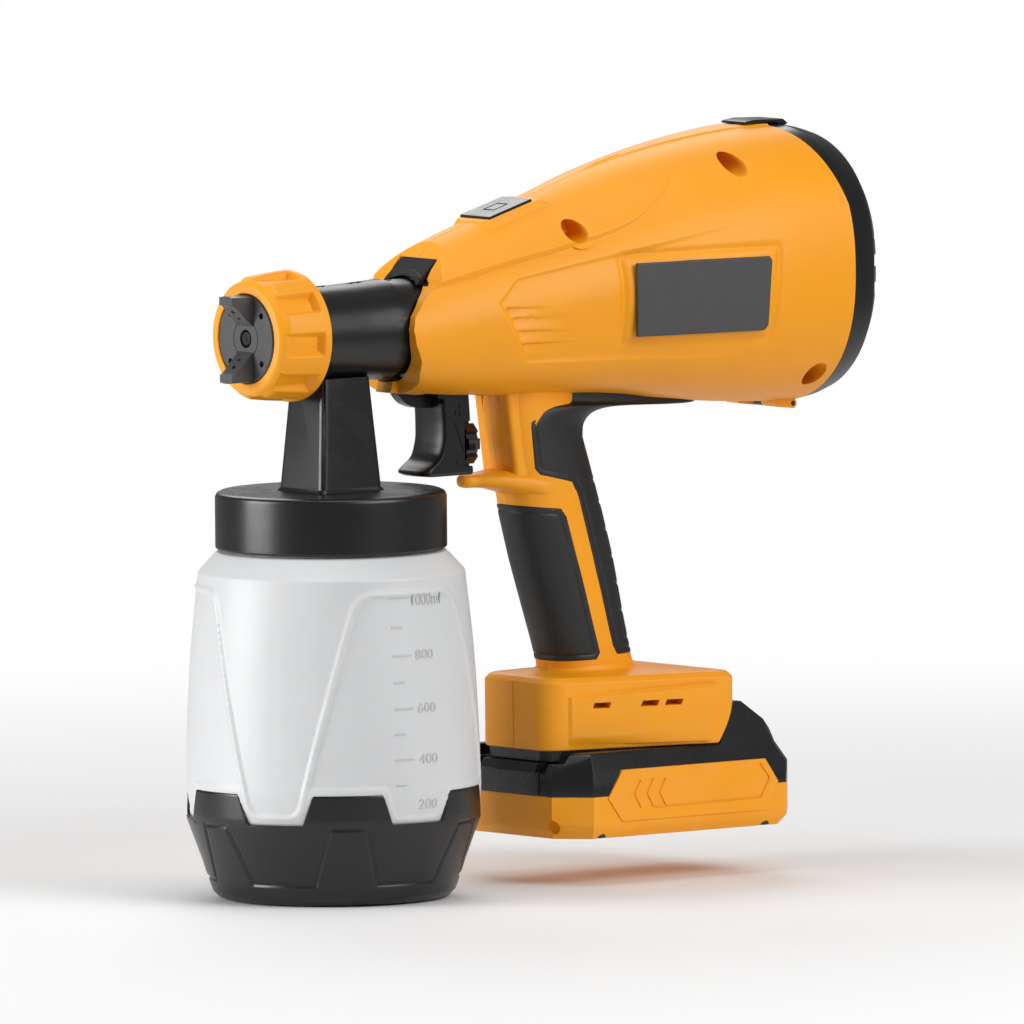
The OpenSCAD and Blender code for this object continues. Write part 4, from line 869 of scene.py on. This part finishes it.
def grip_surface(name, stations, zone, ribs):
    """Soft grip: the handle's rings grown by 0.4 mm inside its zone and drawn in outside it, so that its edge rolls
    under the orange core. A line runs 2.6 mm inside its edge, and ribs notch its back."""
    t = np.linspace(0, 2 * np.pi, count(200), endpoint=False)
    z, centre, a, b, slope = stations.T[..., None]
    x = centre + a * power(np.cos(t), 2 / 2.5)
    rings = np.stack([x, b * power(np.sin(t), 2 / 2.5), z + slope * (x - 110)], axis=-1)
    away = rings - rings.mean(axis=1, keepdims=True)
    away[..., 2] = 0
    away /= np.linalg.norm(away, axis=-1, keepdims=True)
    gap = outline_gap(rings[..., 0], rings[..., 2], zone)
    grow = 0.4 - 1.3 * ramp(gap, -0.8, 0.5) - 0.35 * np.exp(-((gap + 2.6) / 0.45) ** 2)
    back = ramp(away[..., 0], 0.55, 0.8) * (1 - ramp(gap, -4.2, -2.2))
    for height in ribs:
        grow -= 0.33 * np.exp(-((rings[..., 2] - height) / 0.8) ** 2) * back
    return loft(name, rings + away * grow[..., None])


def grip_stations(low, high, n):
    """Rows of the grip's rings: z, centre x, half-depth, half-width, slope."""
    zs = np.linspace(low, high, n)
    s = flow(HANDLE, zs)
    return np.column_stack([zs, s, np.zeros(n)])


def rear_grip_stations():
    """Rows of the rear grip: up the handle, then out along the belly in rings that lean with it. The keys are the
    step, height, front and rear end, half-width and slope."""
    lower = grip_stations(89, 178, count(170))
    keys = [[0, 178, 83.1, 123.9, 14.8, 0], [1, 183, 82, 124.7, 14.7, 0], [2, 187, 84, 128.2, 15, -0.015],
            [3, 189.4, 86, 134.5, 15.2, -0.035], [4, 190.8, 88, 144, 15.2, -0.052],
            [5, 191.6, 90, 158, 14.8, -0.062], [6, 192, 92, 172, 14.2, -0.064], [7, 192.5, 92, 181, 13.6, -0.064],
            [8, 193.6, 92, 184.4, 13, -0.064], [9, 197, 92, 184.6, 12.6, -0.05]]
    z, front, rear, width, slope = flow(keys, np.linspace(0, 9, count(70))).T
    upper = np.column_stack([z, (front + rear) / 2, (rear - front) / 2, width, slope])
    return np.vstack([lower, upper[1:]])


# ---- Spray head ----

RING_OUTSIDE = np.array([[-42.5, 20.9], [-42.25, 21.5], [-41.6, 22.3], [-38.9, 24.4], [-38.2, 24.75], [-30, 25.7],
                         [-21.6, 26.35], [-20.3, 26.4], [-20.1, 26.1], [-19.1, 26.0], [-18.5, 25.3]])
RING_INSIDE = [[-18.5, 19.8], [-18.8, 19.4], [-19.4, 19.4], [-19.4, 17.2], [-34, 17.2], [-34, 20.95],
               [-39, 20.95], [-39, 18.1], [-42.2, 18.1], [-42.5, 18.5]]
POCKETS, POCKET_HALF, POCKET_END, POCKET_FLOOR = 9, 4.8, -22.4, 23.2


def clamping_ring():
    """Ring turned about the nozzle's axis. Between its ribs nine pockets sink to one radius; their sides and back
    rise at a slope, and they run out into the bevel at the front."""
    n = count(630)
    t = np.linspace(0, 360, n, endpoint=False)
    away = np.abs(angle_from(t, 104, 360 / POCKETS))[None, :] * np.pi / 180 * 25
    x = np.unique(np.concatenate([np.linspace(-42.5, -18.5, count(120)), RING_OUTSIDE[:, 0]]))[:, None]
    rib = np.interp(x, RING_OUTSIDE[:, 0], RING_OUTSIDE[:, 1])
    wall = soft_max([(away - POCKET_HALF) / 0.62 + 0 * x, (x - POCKET_END) / 0.7 + 0 * away], 0.5)
    r = np.minimum(soft_max([rib + soft_min([wall, 0 * wall], 0.7), 0 * wall + POCKET_FLOOR], 0.4), rib)
    outer = np.roll(polar(r, np.radians(t), x) + [0, AXIS_Z, 0], 1, axis=-1)
    inner = turned([[q[1], q[0]] for q in RING_INSIDE], n, (0, AXIS_Z), "x")
    return tube("clamping_ring", np.concatenate([outer, inner, outer[:1]]), 30)


def socket():
    """Socket behind the barrel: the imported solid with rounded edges, kept behind the lip of the mouth and under the
    plane of its tongue."""
    behind = [[0, 275]] + [[x + 0.9, z] for x, z in MOUTH[1:12]] + [[0, 214]]
    cutters = [prism("tongue_plane", TONGUE_PLANE, -12, 12)]
    cutters += [prism("lip", behind, *sorted((s * 11.1, s * 40))) for s in (-1, 1)]
    return combine(refined("head_socket", "socket", 0.3), cutters)


def air_cap():
    """Air cap: a turned disc with its hub and flange, two horns whose inner faces slope towards the jet, and its
    holes. Each horn has two jets, and two more holes lie beside its foot."""
    x = CAP_X
    cap = turn_solid("air_cap_body", [[3.7, x], [7.5, x], [7.55, x + 0.35], [7.8, x + 0.35], [7.85, x], [17, x],
                                      [17.6, x + 0.6], [17.6, -38.9], [20.6, -38.9], [20.6, -35.05], [15.6, -35.05],
                                      [13.6, -39.4], [3.7, -39.4]], count(160), (0, AXIS_Z), "x")
    outline = [[x + 2, 5.2], [x - 0.2, 5.2], [x - 8.6, 13.2], [x - 10.2, 14.1], [x - 10.2, 17.2], [x - 9.4, 18],
               [x + 2, 18]]
    horns, holes = [], []
    for s in (-1, 1):
        horn = loft("horn", [np.array([[px, w * (4.9 + 0.09 * (px - x)), AXIS_Z + s * r] for px, r in outline])
                             for w in (-1, 1)])
        rim = turn_solid("rim", [[0, -60], [17.5, -60], [17.5, -36], [0, -36]], count(160), (0, AXIS_Z), "x")
        horns.append(bevel(combine(horn, [rim], "INTERSECT"), 0.35))
        for away, size in ((0.38, 0.75), (0.72, 1.0)):
            p = np.array([x - 0.2 - 8.4 * away, 0, AXIS_Z + s * (5.2 + 8 * away)])
            d = np.array([-0.69, 0, -0.72 * s])
            holes.append(rod("jet", p + d * 2, p - d * 2.4, size, 20))
        holes += [rod("air", (x - 1, w * 10, AXIS_Z + s * 9.6), (x + 2, w * 10, AXIS_Z + s * 9.6), 1.3, 24)
                  for w in (-1, 1)]
    return combine(combine(cap, horns, "UNION"), holes)


def barrel():
    """Barrel with its neck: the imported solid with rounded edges, a parting line down the neck's corner and three
    pressed arrows on top, which point at the gun."""
    cutters = [rod("parting_line", (-11.2, -10.5, 209.5), (-14.85, -13.85, 164.8), 0.42, 12)]
    arrow = np.array([[0, -2.6], [3.4, -1.1], [3.4, -3.2], [7.4, 0], [3.4, 3.2], [3.4, 1.1], [0, 2.6]])
    for k, x in enumerate((-9, 9, 25)):
        cutters.append(loft("arrow", [level(arrow + [x, 0], z) for z in (243.9 + k * 0.35, 250)]))
    return combine(refined("spray_barrel", "barrel", 0.4), cutters)


# ---- Cup ----

# Radius and height of the bottle between its foot and its shoulder
BOTTLE = np.array([[49.2, 9], [56.8, 34], [58.7, 47], [58.7, 57], [58.1, 75], [56.6, 100], [53.6, 129]])
BOTTLE_INSIDE = np.array([[41, 158.4], [41, 139.8], [45, 137], [49.8, 133], [51.8, 129], [54.8, 100], [56.9, 57],
                          [56.9, 47], [55, 34], [47.4, 9], [44, 4.1], [0, 4]])
# Middle of the gap between two panels that carries the scale, in degrees, and the boot's edge and pressed line as
# distance round the bottle from the nearest gap and height
GAP_ANGLE = -92.5
BOOT_EDGE = np.array([[0, 33.4], [12.0, 33.4], [12.6, 33.9], [16.4, 45.1], [17, 45.6], [31.2, 45.6]])
BOOT_LINE = [[0, 8.7], [15.4, 8.7], [22.4, 31.9], [31, 31.9]]
# Radius and height up the boot's outside and inside
BOOT_OUTSIDE = np.array([[43.5, 0.0], [46.2, 0.7], [48.5, 3], [50.4, 8], [52.6, 15], [58.8, 32], [59.2, 35],
                         [59.2, 46]])
BOOT_INSIDE = np.array([[43.1, 2.05], [46.1, 2.65], [49.35, 9], [56.95, 34], [58.85, 47]])


def bottle_radius(z):
    """Radius of the plain bottle at height z, between its foot and its shoulder."""
    return flow(BOTTLE[:, ::-1], z)[..., 0]


def angle_from(theta, centre, period=120.0):
    """Signed angle in degrees from the nearest of the places centre + k period."""
    return (theta - centre + period / 2) % period - period / 2


def bottle_relief(theta, z):
    """Height of the bead round the three broad panels, which runs down into the gaps of the boot, and of the band
    that follows the boot's edge."""
    mm = np.pi / 180 * bottle_radius(np.clip(z, 9, 129))
    narrow = soft_max([(np.abs(angle_from(theta, GAP_ANGLE - 60)) * mm - 10.9 - 0.25 * (z - 43)) / 1.03, 37.6 - z], 5)
    panel = soft_max([z - 126.6, -narrow], 8)
    bead = ramp(panel, -2.9, -2.0) * (1 - ramp(panel, -0.9, 0))
    away = np.abs(angle_from(theta, GAP_ANGLE, 60)) * mm
    band = (1 - ramp(polyline_gap(away, z, BOOT_EDGE), 2.4, 3.2)) * ramp(z - np.interp(away, *BOOT_EDGE.T), -0.6, 0.2)
    return np.maximum(0.85 * bead, 0.5 * band)


def bottle():
    """Bottle: the profile turned about Z with its panels in relief, and the inner wall 1.8 mm inside it."""
    a = np.radians(np.linspace(0, 360, count(432), endpoint=False))
    zs = np.linspace(9, 129, count(176))
    low = rounded([[0, 2.2], [43, 2.2], [46.4, 3], [49.2, 9]], 2.5, 5)[:-1]
    high = rounded([[53.6, 129], [53.5, 130.7], [48.3, 136.5], [46, 138.9], [42.8, 139.4], [42.8, 158.4]], 0.8)[1:]
    radius, z = np.vstack([low, np.column_stack([bottle_radius(zs), zs]), high]).T[..., None]
    r = radius + bottle_relief(np.degrees(a), z) * ((z >= 9) & (z <= 129))
    r[radius[:, 0] < 1e-6] = 0
    inside = polar(BOTTLE_INSIDE[:, 0:1], a, BOTTLE_INSIDE[:, 1:2])
    return tube("bottle", np.concatenate([polar(r, a, z), inside]), 40)


def boot_top(theta):
    """Height of the boot's edge: six teeth with sloping flanks."""
    return np.interp(np.abs(angle_from(theta, GAP_ANGLE, 60)) * np.pi / 180 * 59.2, *BOOT_EDGE.T)


def boot():
    """Boot: rings up its outside to the toothed edge, over it, and down its inside, with a zigzag line pressed
    below the teeth and a foot groove underneath."""
    n, side_rows = count(720), count(84)
    theta = np.linspace(0, 360, n, endpoint=False)
    top = boot_top(theta)

    def wall(profile, z):
        return np.stack([np.interp(z, profile[:, 1], profile[:, 0]), z], axis=-1)

    rows = [np.tile([r, z], (n, 1)) for r, z in [(0, 0.6), (36, 0.6), (36.4, 0), (43.2, 0)]]
    rows += [wall(BOOT_OUTSIDE, 0.25 + (top - 1.15) * k) for k in np.linspace(0, 1, side_rows)]
    for dr, dz in [(-0.12, -0.4), (-0.5, -0.05), (-0.9, 0)]:
        rows.append(wall(BOOT_OUTSIDE, top) + np.array([dr, dz]))
    rows += [wall(BOOT_INSIDE, 2.05 + (top - 2.1) * k) for k in (1.0, 0.7, 0.4, 0.12)]
    rows.append(np.tile([0, 2.05], (n, 1)))
    r, z = np.moveaxis(np.array(rows, float), -1, 0)
    away = np.abs(angle_from(theta, GAP_ANGLE, 60)) * np.pi / 180 * 56 + 0 * z
    line = 0.75 * np.exp(-(polyline_gap(away, z, BOOT_LINE) / 0.8) ** 2)
    r[4:4 + side_rows] -= line[4:4 + side_rows]
    return tube("boot", polar(r, np.radians(theta), z), 40)


# Marks of the scale: height of the tick and of the number's middle, number, its width and height
SCALE = ((123.4, 122.5, "1000ml", 15.4, 4.7), (100.5, 100.7, "800", 9.2, 4.0), (79.3, 79.4, "600", 9.2, 4.0),
         (59.0, 59.1, "400", 9.4, 4.0), (None, 40.9, "200", 9.4, 4.1))
HALF_TICKS = (111.8, 89.8, 69.2, 48.8)
TICK_ANGLE, MARK_HEIGHT = -103.1, 0.3


def wrapped(x, y, depth, angle, z0):
    """Points x along the bottle, y up and depth over its surface, bent round it from an angle at height z0."""
    z = z0 + np.asarray(y, float)
    a = np.radians(angle) + x / bottle_radius(np.full(1, z0))
    return polar(bottle_radius(z) + bottle_relief(np.degrees(a), z) + depth, a, z)


def number(label, width, height, z0):
    """Raised number of the given width and height in mm on the bottle, with its lower edge at height z0."""
    curve = bpy.data.curves.new("number", "FONT")
    curve.body = label
    curve.extrude = MARK_HEIGHT
    curve.resolution_u = 4
    text = bpy.data.objects.new("number", curve)
    bpy.context.scene.collection.objects.link(text)
    graph = bpy.context.evaluated_depsgraph_get()
    graph.update()
    mesh = bpy.data.meshes.new_from_object(text.evaluated_get(graph))
    bpy.data.objects.remove(text, do_unlink=True)
    co = np.empty(len(mesh.vertices) * 3, np.float32)
    mesh.vertices.foreach_get("co", co)
    co = co.reshape(-1, 3).astype(float)
    low, high = co.min(axis=0), co.max(axis=0)
    x, y = ((co - low) / (high - low) * [width, height, 1])[:, :2].T
    mesh.vertices.foreach_set("co", (wrapped(x, y, co[:, 2], GAP_ANGLE + 0.1, z0) * MM).astype(np.float32).ravel())
    obj = bpy.data.objects.new("number", mesh)
    bpy.context.scene.collection.objects.link(obj)
    tidy_mesh(obj)
    return obj


def tick(z, length):
    """Raised tick of the scale at height z."""
    return loft("tick", [wrapped(np.full(4, x), [-0.35, 0.35, 0.35, -0.35], [-0.4, -0.4, MARK_HEIGHT, MARK_HEIGHT],
                                 TICK_ANGLE, z) for x in np.linspace(0, length, 9)])


def graduations():
    """Ticks and numbers of the scale, joined into one mesh."""
    parts = [tick(z, 8.4) for z, *_ in SCALE if z] + [tick(z, 4.9) for z in HALF_TICKS]
    parts += [number(label, width, height, middle - height / 2) for _, middle, label, width, height in SCALE]
    bm = bmesh.new()
    for part in parts:
        bm.from_mesh(part.data)
        bpy.data.objects.remove(part, do_unlink=True)
    mesh = bpy.data.meshes.new("graduations")
    bm.to_mesh(mesh)
    bm.free()
    obj = bpy.data.objects.new("graduations", mesh)
    bpy.context.scene.collection.objects.link(obj)
    shade(obj, 40)
    return obj


# ---- Battery ----

def bar_prism(name, p, q, width, y0, y1):
    """Straight bar of the given width from p to q in the XZ plane, carried from y0 to y1."""
    p, q = np.asarray(p, float), np.asarray(q, float)
    n = np.array([p[1] - q[1], q[0] - p[0]]) / np.linalg.norm(q - p) * width / 2
    return prism(name, [p - n, q - n, q + n, p + n], y0, y1)


def battery_case():
    """Lower case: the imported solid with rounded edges, a scoop at its front corner and a line pressed round the
    side plate's rear end."""
    line = [[131, 30], [185.6, 30.7], [190.2, 38.2], [185.3, 44.4]]
    cutters = [bar_prism("plate_line", p, q, 0.9, -45, -41.15) for p, q in zip(line, line[1:])]
    cutters.append(rod("corner_scoop", (83, -31.4, 23.6), (91.6, -27.8, 23.6), 2.8, 32))
    return combine(refined("battery_base", "battery_case", 0.6), cutters)


def front_plate():
    """Bare plate on the front of the battery's cover."""
    return bevel(box_solid("front_plate", (87.9, -20.9, 36.4), (89.4, 15.9, 45.4)), 0.3)


# ---- Trigger ----

# Stations of the finger lever: z, then x of its front, its flank and its back
TRIGGER = [[166, 42, 45.4, 65.4], [166.6, 40.2, 43.9, 65.4], [167.6, 39.5, 43.3, 65.4], [169.2, 41.6, 44.4, 65.2],
           [172, 46, 48, 65], [178, 49.2, 50.8, 64.6], [186, 50, 51.4, 64.2], [193, 49.6, 51.2, 63.8],
           [198, 49.4, 51, 63.4]]


def trigger_lever():
    """Finger lever: levels with flat sides and a round front whose depth follows the curled profile. The wheel's
    pocket and spindle hole and the marks of its two directions are cut into it."""
    zs = np.concatenate([[166, 166.2], np.linspace(166.6, 198, count(70))])
    t = np.linspace(0, np.pi, count(40))
    rings = []
    for z, (front, flank, back) in zip(zs, flow(TRIGGER, zs)):
        w = 10 * (0.94 + 0.06 * ramp(z, 166, 167))
        arc = np.column_stack([flank - (flank - front) * np.sin(t), w * power(np.cos(t), 0.8)])
        corner = rounded([arc[-1], [back, -w], [back, w], arc[0]], 1.4, 5)
        rings.append(level(np.vstack([arc, corner[1:-1]]), z))
    boxes = {"wheel_pocket": ((60.6, -12, 169.4), (68, 12, 187.6)), "minus": ((57.6, -12, 189.6), (58.3, -9.7, 191.8)),
             "plus_1": ((55.6, -12, 190.4), (56.2, -9.7, 192)), "plus_2": ((57.6, -12, 193), (58.3, -9.7, 195.2))}
    spindle = [[0, 54], [1.95, 54], [1.95, 61], [0, 61]]
    return combine(loft("trigger_lever", rings), [box_solid(name, *corners) for name, corners in boxes.items()] + [
        prism("mark_line", [[55.2, 187], [55.9, 187.1], [60.2, 175.8], [59.5, 175.5]], -12, -9.7),
        rod("mark_dot", (56, -12, 171), (56, -9.7, 171), 0.6, 16),
        turn_solid("spindle_hole", spindle, 48, (0, 178), "x")])


def trigger_yoke():
    """Arms inside the body, the stop arm under the barrel, the push pad and the bar that draws the needle."""
    stop = rounded([[52, 193.2], [42.4, 193.4], [36.4, 195.4], [32.4, 199.6], [30.8, 205.2], [35.8, 205.2],
                    [36.9, 201.6], [40, 198.9], [52, 198]], 2.2)
    bar = box_solid("needle_yoke", (44.2, -10.2, 223.6), (47.4, 10.2, 228.4))
    parts = [box_solid("yoke_plate", (47, -10.2, 197.4), (60, 10.2, 200.8)),
             box_solid("push_pad", (56, -6.4, 197.8), (64, 6.4, 207.4)),
             combine(bar, [box_solid("needle_gap", (40, -2.4, 222), (50, 2.4, 232))])]
    for y in (-9.1, 9.1):
        arm = [[47, 198], [60, 198], [55, 222], [53.2, 246], [46.6, 246], [46.4, 222]]
        parts += [prism("yoke_arm", arm, y - 1.1, y + 1.1),
                  rod("yoke_eye", (50, y - 1.1, 247.4), (50, y + 1.1, 247.4), 3.4)]
    return combine(prism("stop_arm", stop, -2.6, 2.6), parts, "UNION")


# ---- Studio ----

def camera_axes():
    """Right, up and forward directions of the camera, from its azimuth, elevation and roll."""
    a, e, r = (math.radians(v) for v in (-CAMERA_AZIMUTH, CAMERA_ELEVATION, CAMERA_ROLL))
    forward = Vector((math.sin(a) * math.cos(e), math.cos(a) * math.cos(e), -math.sin(e)))
    across = Vector((math.cos(a), -math.sin(a), 0))
    rise = across.cross(forward)
    right = across * math.cos(r) + rise * math.sin(r)
    return right, right.cross(forward), forward


def camera():
    """Long-lens camera at the working view, so far off that the sides stay nearly parallel."""
    studio = bpy.context.scene.sprayer_studio
    right, up, forward = camera_axes()
    target = (right * studio.target_right + up * studio.target_up) * MM
    data = bpy.data.cameras.new("studio_camera")
    data.sensor_width = SENSOR_WIDTH
    data.lens = studio.lens
    data.clip_end = 100
    obj = bpy.data.objects.new("studio_camera", data)
    bpy.context.scene.collection.objects.link(obj)
    far = data.lens / SENSOR_WIDTH * FRAME_PIXELS / studio.pixels_per_mm * MM
    basis = Matrix((right, up, -forward)).transposed().to_4x4()
    obj.matrix_world = Matrix.Translation(target - forward * far) @ basis
    bpy.context.scene.camera = obj


def soft_lamp(name, azimuth, elevation, distance, size, power_w):
    """Square area lamp that looks at the middle of the object."""
    data = bpy.data.lights.new(name, "AREA")
    data.shape = "SQUARE"
    data.size = size
    data.energy = power_w
    obj = bpy.data.objects.new(name, data)
    bpy.context.scene.collection.objects.link(obj)
    a, e = math.radians(azimuth), math.radians(elevation)
    away = Vector((math.sin(a) * math.cos(e), -math.cos(a) * math.cos(e), math.sin(e)))
    obj.matrix_world = (Matrix.Translation(Vector((0.07, 0, 0.15)) + away * distance)
                        @ away.to_track_quat("Z", "Y").to_matrix().to_4x4())


def backdrop():
    """Pale floor that turns to plain white away from the object, and keeps its shadow close by."""
    a = np.linspace(0, 2 * np.pi, 96, endpoint=False)
    floor = mesh_object("floor", polar(9000, a, -0.3) + [80, 0, 0], [np.arange(96)])
    material = bpy.data.materials.new("Pale floor")
    material.use_nodes = True
    tree = material.node_tree
    shader = tree.nodes["Principled BSDF"]
    shader.inputs["Base Color"].default_value = (0.86, 0.86, 0.86, 1)
    shader.inputs["Roughness"].default_value = 0.7
    where = add(tree, "TexCoord").outputs["Object"]
    away = add(tree, "VectorMath", {"operation": "DISTANCE"}, i0=where, i1=(0.08, 0.0, 0.0)).outputs["Value"]
    strength = maths(tree, "MULTIPLY_ADD", seen_directly(tree), 0.75, 0.25)
    glow = add(tree, "Emission", Color=(1, 1, 1, 1), Strength=strength)
    mix = add(tree, "MixShader", i0=spread(tree, away, 0.25, 1.1), i1=shader.outputs[0], i2=glow.outputs[0])
    tree.links.new(mix.outputs[0], tree.nodes["Material Output"].inputs["Surface"])
    paint(floor, material)


# Square lamps: name, azimuth and elevation in degrees, distance and size in metres, power in watts
LAMPS = (("key_lamp", 12, 28, 1.6, 1.1, 16.5), ("fill_lamp", -114, 10, 1.7, 0.9, 25),
         ("top_lamp", -30, 82, 1.5, 1.0, 8), ("back_lamp", 150, 35, 1.8, 1.0, 8))


def seen_directly(tree):
    """1 where a ray comes from the camera or through something clear, and 0 for all other light."""
    path = add(tree, "LightPath")
    return maths(tree, "MAXIMUM", path.outputs["Is Camera Ray"], path.outputs["Is Transmission Ray"])


def studio_light():
    """World light, white where it is seen, and the soft lamps."""
    world = bpy.data.worlds.new("studio")
    bpy.context.scene.world = world
    world.use_nodes = True
    tree = world.node_tree
    sky = tree.nodes["Background"]
    sky.inputs["Color"].default_value = (1, 1, 1, 1)
    tree.links.new(maths(tree, "MULTIPLY_ADD", seen_directly(tree), 0.8, 0.2), sky.inputs["Strength"])
    for lamp in LAMPS:
        soft_lamp(*lamp)
    bpy.context.scene.view_settings.view_transform = "Standard"


# ---- Values that a user would change ----

def colour_property(label, text, default):
    return FloatVectorProperty(name=label, description=text, subtype="COLOR", size=3, min=0, max=1, default=default)


class SprayerColours(bpy.types.PropertyGroup):
    """Colours of the finishes."""
    shell: colour_property("Shell", "Moulded half shells, ring and battery case", (0.9, 0.345, 0.003))
    plastic: colour_property("Plastic", "Black satin plastic", (0.0055, 0.0056, 0.0058))
    cap: colour_property("Air cap", "Dark grey plastic of the air cap", (0.05, 0.05, 0.052))
    rubber: colour_property("Rubber", "Soft grips", (0.009, 0.0092, 0.0095))
    bottle: colour_property("Bottle", "Milky bottle", (0.62, 0.63, 0.64))
    plate: colour_property("Plate", "Bare plate in the side", (0.05, 0.047, 0.048))


class SprayerStudio(bpy.types.PropertyGroup):
    """Camera framing."""
    lens: FloatProperty(name="Lens", description="Focal length of the camera", default=1400, min=50, max=1500,
                        unit="CAMERA")
    pixels_per_mm: FloatProperty(name="Scale", description="Pixels for each millimetre in a 1024 pixel frame",
                                 default=2.5, min=1, max=5)
    target_right: FloatProperty(name="Target right", description="Middle of the frame along the camera's right, in mm",
                                default=71.0)
    target_up: FloatProperty(name="Target up", description="Middle of the frame along the camera's up, in mm",
                             default=153.6)


# ---- Operators ----

class SPRAYER_OT_studio(bpy.types.Operator):
    """Camera, backdrop and lamps"""
    bl_idname = "sprayer.studio"
    bl_label = "Studio"

    def execute(self, context):
        camera()
        backdrop()
        studio_light()
        return {"FINISHED"}


class SPRAYER_OT_shells(bpy.types.Operator):
    """Both half shells: body, hinge ear, handle core, foot, trigger block, guard and lock pad"""
    bl_idname = "sprayer.shells"
    bl_label = "Half shells"

    def execute(self, context):
        for side, node in ((-1, "housing_left"), (1, "housing_right")):
            for make in (body_shell, hinge_ears, handle_core, foot_half, trigger_block_half, guard_half, lock_pad_half):
                finish_piece(make(side), "shell", node)
        for boss in screw_bosses():
            finish_piece(boss, "shell", "housing_left")
        return {"FINISHED"}


class SPRAYER_OT_grips(bpy.types.Operator):
    """Soft grips in front of and behind the handle"""
    bl_idname = "sprayer.grips"
    bl_label = "Grips"

    def execute(self, context):
        front = grip_surface("front_grip_skin", grip_stations(87, 158, count(170)), FRONT_ZONE, ())
        back = grip_surface("rear_grip_skin", rear_grip_stations(), REAR_ZONE, RIB_HEIGHTS)
        finish_piece(front, "rubber", "front_grip")
        finish_piece(back, "rubber", "rear_grip")
        return {"FINISHED"}


class SPRAYER_OT_head(bpy.types.Operator):
    """Barrel with its neck, the clamping ring, the air cap and the socket behind them"""
    bl_idname = "sprayer.head"
    bl_label = "Spray head"

    def execute(self, context):
        finish_piece(barrel(), "plastic", "spray_barrel")
        finish_piece(clamping_ring(), "shell", "cap_ring")
        finish_piece(air_cap(), "cap", "air_cap")
        finish_piece(socket(), "plastic", "head_socket")
        return {"FINISHED"}


class SPRAYER_OT_cup(bpy.types.Operator):
    """Bottle with its scale, boot and screw lid"""
    bl_idname = "sprayer.cup"
    bl_label = "Cup"

    def execute(self, context):
        finish_piece(bottle(), "bottle", "cup")
        finish_piece(boot(), "plastic", "cup_boot")
        finish_piece(refined("screw_lid", "lid", 1.1, 3), "plastic", "screw_lid")
        finish_piece(graduations(), "mark", "cup")
        return {"FINISHED"}


class SPRAYER_OT_trigger(bpy.types.Operator):
    """Trigger with its yoke"""
    bl_idname = "sprayer.trigger"
    bl_label = "Trigger"

    def execute(self, context):
        finish_piece(trigger_lever(), "plastic", "trigger")
        finish_piece(trigger_yoke(), "plastic", "trigger")
        return {"FINISHED"}


class SPRAYER_OT_carried(bpy.types.Operator):
    """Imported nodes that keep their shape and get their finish"""
    bl_idname = "sprayer.carried"
    bl_label = "Inner pieces"

    def execute(self, context):
        for node, (name, values) in INNER.items():
            paint(frame["nodes"][node], moulded(name, **values))
        for key, nodes in INNER_METAL.items():
            for node in nodes:
                paint(frame["nodes"][node], finish(key))
        return {"FINISHED"}


# Pieces that keep their imported outline and get rounded edges: node, bevel in mm, finish
BEVELLED = (
    # The fluid nozzle's black, like the needle's dark steel, paints the shade inside the air cap's centre hole.
    ("fluid_nozzle", 0.1, "plastic"), ("lock_button", 0.6, "plastic"), ("side_badge", 0.5, "plate"),
    ("housing_screws", 0.2, "steel"), ("flow_wheel", 0.5, "plastic"), ("rear_cover", 0.5, "plastic"),
    ("cover_latch", 0.4, "plastic"), ("battery_rail", 0.4, "plastic"), ("battery_top", 0.7, "plastic"),
    ("battery_screws", 0.15, "dark_steel_and_painted_shade"), ("battery_button", 0.6, "plastic"))


class SPRAYER_OT_bevelled(bpy.types.Operator):
    """Cover, latch, plate, buttons, wheel, battery and screws, with rounded edges"""
    bl_idname = "sprayer.bevelled"
    bl_label = "Rounded pieces"

    def execute(self, context):
        for node, width, key in BEVELLED:
            finish_piece(refined(node, node + "_finished", width), key, node)
        finish_piece(cover_skin(), "plastic", "rear_cover")
        finish_piece(battery_case(), "shell", "battery_base")
        finish_piece(front_plate(), "plastic", "battery_top")
        return {"FINISHED"}


class SPRAYER_PT_panel(bpy.types.Panel):
    """Colours, framing and the pieces"""
    bl_label = "Cup Sprayer"
    bl_idname = "SPRAYER_PT_panel"
    bl_space_type = "VIEW_3D"
    bl_region_type = "UI"
    bl_category = "Sprayer"

    def draw(self, context):
        for group in (context.scene.sprayer_colours, context.scene.sprayer_studio):
            box = self.layout.box()
            for key in group.bl_rna.properties.keys():
                if key not in ("rna_type", "name"):
                    box.prop(group, key)
        for operator in BUILD_ORDER:
            self.layout.operator(operator.bl_idname)


BUILD_ORDER = (SPRAYER_OT_studio, SPRAYER_OT_shells, SPRAYER_OT_grips, SPRAYER_OT_head, SPRAYER_OT_cup,
               SPRAYER_OT_trigger, SPRAYER_OT_bevelled, SPRAYER_OT_carried)
CLASSES = (SprayerColours, SprayerStudio, SPRAYER_PT_panel) + BUILD_ORDER


def register():
    for item in CLASSES:
        bpy.utils.register_class(item)
    bpy.types.Scene.sprayer_colours = PointerProperty(type=SprayerColours)
    bpy.types.Scene.sprayer_studio = PointerProperty(type=SprayerStudio)


def unregister():
    del bpy.types.Scene.sprayer_studio
    del bpy.types.Scene.sprayer_colours
    for item in reversed(CLASSES):
        bpy.utils.unregister_class(item)


def main():
    register()
    for operator in BUILD_ORDER:
        getattr(bpy.ops.sprayer, operator.bl_idname.split(".")[1])()


if __name__ == "__main__":
    main()
